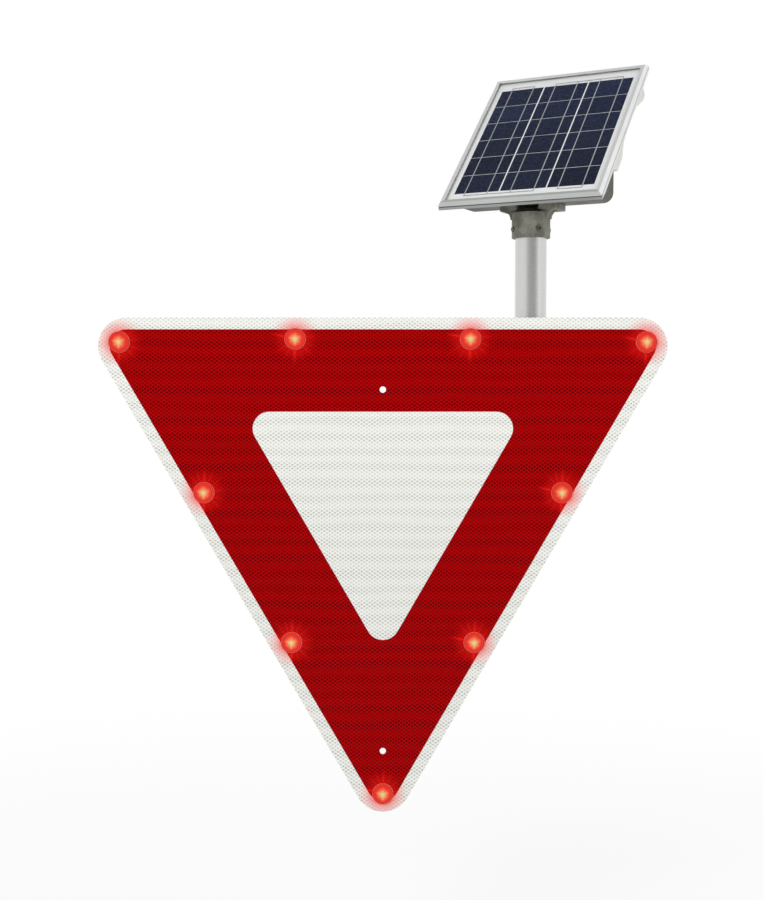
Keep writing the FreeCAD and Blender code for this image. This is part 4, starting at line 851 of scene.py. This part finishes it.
def joined(name, *pieces):
    """Joins pieces into one, under a name."""
    select_only(*pieces)
    bpy.ops.object.join()
    return named(name)


def hexagons(node, name, rotation):
    """Lets chamfered nuts stand for the solids of a node."""
    nut = hexagon_nut(node + "_template", *NUTS[node])
    dress(repeated(name, nut, islands(node), rotation), finish(SLOT_OF[node]), node)


def on_each_lamp(template, name, node, finish_of):
    """Copies a template to each lamp, numbered as the node that it stands for, and drops the template."""
    for number in LAMP_NUMBERS:
        select_only(template)
        bpy.ops.object.duplicate()
        piece = named("%s_%d" % (name, number))
        settle(piece, lamp_centre(number), FRONT)
        dress(piece, finish_of(number), "%s_%d" % (node, number))
    bpy.data.objects.remove(template)


# Sizes and colours a user would change

class SignSheetingSettings(bpy.types.PropertyGroup):
    white: bpy.props.FloatVectorProperty(
        name="White", description="White prismatic sheeting", subtype="COLOR", default=(0.82, 0.83, 0.78))
    red: bpy.props.FloatVectorProperty(
        name="Red", description="Red transparent film over the sheeting", subtype="COLOR",
        default=(0.305, 0.0003, 0.0010))
    cell_pitch: bpy.props.FloatProperty(
        name="Cell pitch", description="Width of one prism cell", default=0.0080, unit="LENGTH")
    cell_row: bpy.props.FloatProperty(
        name="Cell row", description="Height from one row of spots to the next", default=0.00278,
        unit="LENGTH")
    band_pitch: bpy.props.FloatProperty(
        name="Band pitch", description="Height of one light and dark band", default=0.023, unit="LENGTH")
    gloss: bpy.props.FloatProperty(
        name="Gloss", description="Strength of the sheeting's own shine", default=0.03)


class SignHeadSettings(bpy.types.PropertyGroup):
    cell_blue: bpy.props.FloatVectorProperty(
        name="Cell blue", description="Tone of the silicon cells", subtype="COLOR",
        default=(0.0105, 0.0145, 0.036))
    # Strength of the painted shade in the frame's groove
    groove_shade: bpy.props.FloatProperty(
        name="Groove dirt", description="How dark the groove round the panel frame is", default=0.85)
    edge: bpy.props.FloatProperty(
        name="Frame edge", description="Ease on the panel frame's edges, in millimetres", default=0.35)


class SignStageSettings(bpy.types.PropertyGroup):
    camera_place: bpy.props.FloatVectorProperty(
        name="Camera", description="Where the camera stands", subtype="TRANSLATION",
        default=(-0.002, -1.957, 0.279))
    camera_pitch: bpy.props.FloatProperty(
        name="Pitch", description="Camera's turn from straight down", subtype="ANGLE",
        default=math.radians(87.2))
    camera_lens: bpy.props.FloatProperty(
        name="Lens", description="Focal length on a 36 mm wide sensor", default=61.48, unit="CAMERA")
    floor_drop: bpy.props.FloatProperty(
        name="Floor drop", description="How far the floor lies below the sign's tip", default=0.30,
        unit="LENGTH")
    fill: bpy.props.FloatProperty(
        name="Fill", description="Strength of the even light from all round", default=0.62)


# Operators

class SIGN_OT_effects(bpy.types.Operator):
    """Builds the shader effects that several finishes share"""
    bl_idname = "sign.effects"
    bl_label = "Shared effects"

    def execute(self, context):
        build_mottle()
        build_grain()
        build_scuffs()
        build_prism_cells()
        build_lamp_rays()
        build_lamp_halo()
        build_lamp_face()
        return {"FINISHED"}


class SIGN_OT_finishes(bpy.types.Operator):
    """Gives every node its worked finish by its material slot"""
    bl_idname = "sign.finishes"
    bl_label = "Worked finishes"

    def execute(self, context):
        for slot, values in FINISHES.items():
            material = worked_finish(WORKED + slot, *values)
            for node, owner in SLOT_OF.items():
                if owner == slot:
                    paint_node(node, material)
        return {"FINISHED"}


class SIGN_OT_face(bpy.types.Operator):
    """Finishes the white sheeting and the red film"""
    bl_idname = "sign.face"
    bl_label = "Sign face"

    def execute(self, context):
        settings = context.scene.sign_sheeting
        for node, name, colour in (("white_sheeting", "white_prismatic", settings.white),
                                   ("red_overlay", "red_prismatic", settings.red)):
            paint_node(node, sheeting_finish(name, colour, settings, **SHEETING_LOOKS[name]))
        return {"FINISHED"}


class SIGN_OT_lenses(bpy.types.Operator):
    """Turns the nine red lenses and finishes them lit"""
    bl_idname = "sign.lenses"
    bl_label = "Lamp lenses"

    def execute(self, context):
        sphere = (LENS_DOME_R ** 2 + LENS_DOME_RISE ** 2) / (2 * LENS_DOME_RISE)
        profile = list(LENS_RIM)
        for step in range(LENS_DOME_STEPS - 1, 0, -1):
            radius = LENS_DOME_R * step / LENS_DOME_STEPS
            height = LENS_DOME_FOOT + LENS_DOME_RISE - sphere + math.sqrt(sphere ** 2 - radius ** 2)
            profile.append((radius, height))
        profile.append((0.0, LENS_DOME_FOOT + LENS_DOME_RISE))
        lens = lathe("lens_template", profile, LENS_SIDES)
        smooth(lens, SMOOTH_ANGLE)
        on_each_lamp(lens, "lens", "lamp_lens", lens_finish)
        return {"FINISHED"}


class SIGN_OT_lamp_backs(bpy.types.Operator):
    """Cuts the threads of the nine lamp barrels and models their nuts"""
    bl_idname = "sign.lamp_backs"
    bl_label = "Lamp barrels and nuts"

    def execute(self, context):
        barrel = lathe("barrel_core", BARREL_CORE, BARREL_SIDES)
        thread = screw_thread("barrel_thread", *BARREL_THREAD, BARREL_SIDES)
        barrel = joined("barrel_template", barrel, thread)
        smooth(barrel, THREAD_SMOOTH_ANGLE)
        on_each_lamp(barrel, "barrel", "lamp_body", lambda number: finish("lamp_body"))
        hexagons("lamp_nuts", "barrel_nuts", BACK)
        return {"FINISHED"}


class SIGN_OT_mast_parts(bpy.types.Operator):
    """Eases the edges of the mast, its plug, plate and straps, and models the strap nuts"""
    bl_idname = "sign.mast_parts"
    bl_label = "Mast and straps"

    def execute(self, context):
        ease("mast", "mast_plug", "mast_plate", "strap_upper", "strap_lower")
        hexagons("strap_nuts", "strap_hexagons", BACK)
        core = lathe("stud_core", STUD_CORE, STUD_SIDES)
        thread = screw_thread("stud_thread", *STUD_THREAD, STUD_SIDES)
        stud = joined("stud_template", core, thread)
        studs = repeated("strap_threads", stud, islands("strap_studs"), BACK)
        dress(studs, finish("stainless"), "strap_studs")
        return {"FINISHED"}


class SIGN_OT_fitter(bpy.types.Operator):
    """Eases the cast slip fitter and its set screws"""
    bl_idname = "sign.fitter"
    bl_label = "Slip fitter"

    def execute(self, context):
        ease("slip_fitter", segments=CAST_EDGE_SEGMENTS)
        ease("set_screws")
        return {"FINISHED"}


class SIGN_OT_box(bpy.types.Operator):
    """Eases the battery box, its lid plate, the rails and the junction box"""
    bl_idname = "sign.box"
    bl_label = "Battery box and rails"

    def execute(self, context):
        ease("box_body", "mount_plate", "rail_upper", "rail_lower", "junction_shell", "junction_lid",
             "plate_gland")
        for node in ("rail_nuts", "frame_nuts"):
            hexagons(node, node + "_hexagons", PANEL_TURN)
        return {"FINISHED"}


class SIGN_OT_panel(bpy.types.Operator):
    """Eases the panel's frame and finishes its cells and glass"""
    bl_idname = "sign.panel"
    bl_label = "Solar panel"

    def execute(self, context):
        settings = context.scene.sign_head
        grooved = groove_finish(settings)
        for side in ("top", "bottom", "left", "right"):
            node = "frame_" + side
            dress(softened(node, settings.edge, EDGE_SEGMENTS), grooved, node)
        paint_node("solar_cells", cell_finish(settings))
        paint_node("glass", glass_finish())
        return {"FINISHED"}


class SIGN_OT_stage(bpy.types.Operator):
    """Lays the floor, hangs the lights and sets up the camera"""
    bl_idname = "sign.stage"
    bl_label = "Stage"

    def execute(self, context):
        settings = context.scene.sign_stage
        self.lay_floor(settings)
        self.hang_lights()
        self.light_world(context, settings)
        self.place_camera(context, settings)
        return {"FINISHED"}

    def lay_floor(self, settings):
        """A pale floor that keeps the shadow and fades to the backdrop's white far away."""
        deselect()
        bpy.ops.mesh.primitive_circle_add(vertices=128, radius=FLOOR_R, fill_type="NGON",
                                          location=(0.0, 0.0, CAD_BOUNDS[0].z - settings.floor_drop))
        floor = named("floor")
        settle(floor, floor.location.copy())
        material, w, shader = principled("floor_paper", (0.90, 0.90, 0.90), 0.9)
        shader.inputs["Specular IOR Level"].default_value = 0.1
        out = material.node_tree.nodes["Material Output"]
        glow = w.node("ShaderNodeEmission")
        glow.inputs["Strength"].default_value = 1.0
        seen = w.node("ShaderNodeLightPath").outputs
        rays = w.calc("MAXIMUM", seen["Is Camera Ray"],
                      w.calc("MAXIMUM", seen["Is Glossy Ray"], seen["Is Transmission Ray"]))
        from_sign = w.vector("LENGTH", w.vector("MULTIPLY", w.place(), (1.0, 1.0, 0.0)))
        blend = w.node("ShaderNodeMixShader")
        w.feed(blend.inputs[0], w.calc("MULTIPLY", rays, w.ramp(from_sign, *FLOOR_FADE)))
        w.feed(blend.inputs[1], shader.outputs[0])
        w.feed(blend.inputs[2], glow.outputs[0])
        w.feed(out.inputs["Surface"], blend.outputs[0])
        floor.data.materials.append(material)

    def hang_lights(self):
        """Three soft boxes: a key from the upper left, a fill from the right and a rim from behind."""
        for name, place, width, power in LIGHTS:
            deselect()
            bpy.ops.object.light_add(type="AREA", location=place)
            light = named(name)
            light.rotation_euler = (LIGHT_TARGET - Vector(place)).to_track_quat("-Z", "Y").to_euler()
            light.data.size = width
            light.data.energy = power
            light.visible_glossy = name == MIRRORED_LIGHT

    def light_world(self, context, settings):
        """White all round, but what is polished sees a darker ceiling and a darker room before the sign."""
        world = bpy.data.worlds.new("studio")
        context.scene.world = world
        world.use_nodes = True
        w = Wiring(world.node_tree)
        background = world.node_tree.nodes["Background"]
        background.inputs["Color"].default_value = (1.0, 1.0, 1.0, 1.0)
        seen = w.node("ShaderNodeLightPath").outputs
        heading = w.node("ShaderNodeTexCoord").outputs["Generated"]
        ceiling = w.ramp(w.axes(heading)[2], *CEILING)
        room = w.ramp(w.vector("DOT_PRODUCT", heading, ROOM_SIDE), *ROOM)
        mirrored = w.calc("MINIMUM", ceiling, room)
        shown = w.calc("MAXIMUM", seen["Is Camera Ray"], seen["Is Transmission Ray"])
        level = w.node("ShaderNodeMix", data_type="FLOAT")
        w.feed(level.inputs["Factor"], seen["Is Glossy Ray"])
        w.feed(level.inputs["A"], settings.fill)
        w.feed(level.inputs["B"], mirrored)
        w.feed(background.inputs["Strength"], w.calc("MAXIMUM", level.outputs[0], shown))

    def place_camera(self, context, settings):
        """The camera that took the photo, fitted to the blade and the panel."""
        deselect()
        bpy.ops.object.camera_add(location=settings.camera_place,
                                  rotation=(settings.camera_pitch, 0.0, 0.0))
        camera = named("camera")
        camera.data.sensor_fit = "HORIZONTAL"
        camera.data.sensor_width = SENSOR_WIDTH
        camera.data.lens = settings.camera_lens
        camera.data.clip_end = 50.0
        context.scene.camera = camera
        context.scene.view_settings.view_transform = "Standard"


STEPS = (SIGN_OT_effects, SIGN_OT_finishes, SIGN_OT_face, SIGN_OT_lenses, SIGN_OT_lamp_backs,
         SIGN_OT_mast_parts, SIGN_OT_fitter, SIGN_OT_box, SIGN_OT_panel, SIGN_OT_stage)


class SIGN_PT_finisher(bpy.types.Panel):
    """Lists the steps and their settings"""
    bl_idname = "SIGN_PT_finisher"
    bl_label = "Give way sign"
    bl_space_type = "VIEW_3D"
    bl_region_type = "UI"
    bl_category = "Sign"

    def draw(self, context):
        scene = context.scene
        for settings in (scene.sign_sheeting, scene.sign_head, scene.sign_stage):
            for label in settings.__annotations__:
                self.layout.prop(settings, label)
        for step in STEPS:
            self.layout.operator(step.bl_idname)


SETTINGS = {"sign_sheeting": SignSheetingSettings, "sign_head": SignHeadSettings,
            "sign_stage": SignStageSettings}


def register():
    for each in (*SETTINGS.values(), *STEPS, SIGN_PT_finisher):
        bpy.utils.register_class(each)
    for label, group in SETTINGS.items():
        setattr(bpy.types.Scene, label, bpy.props.PointerProperty(type=group))


def unregister():
    for label in SETTINGS:
        delattr(bpy.types.Scene, label)
    for each in (SIGN_PT_finisher, *reversed(STEPS), *SETTINGS.values()):
        bpy.utils.unregister_class(each)


def main():
    register()
    for step in STEPS:
        family, action = step.bl_idname.split(".")
        getattr(getattr(bpy.ops, family), action)()


if __name__ == "__main__":
    main()
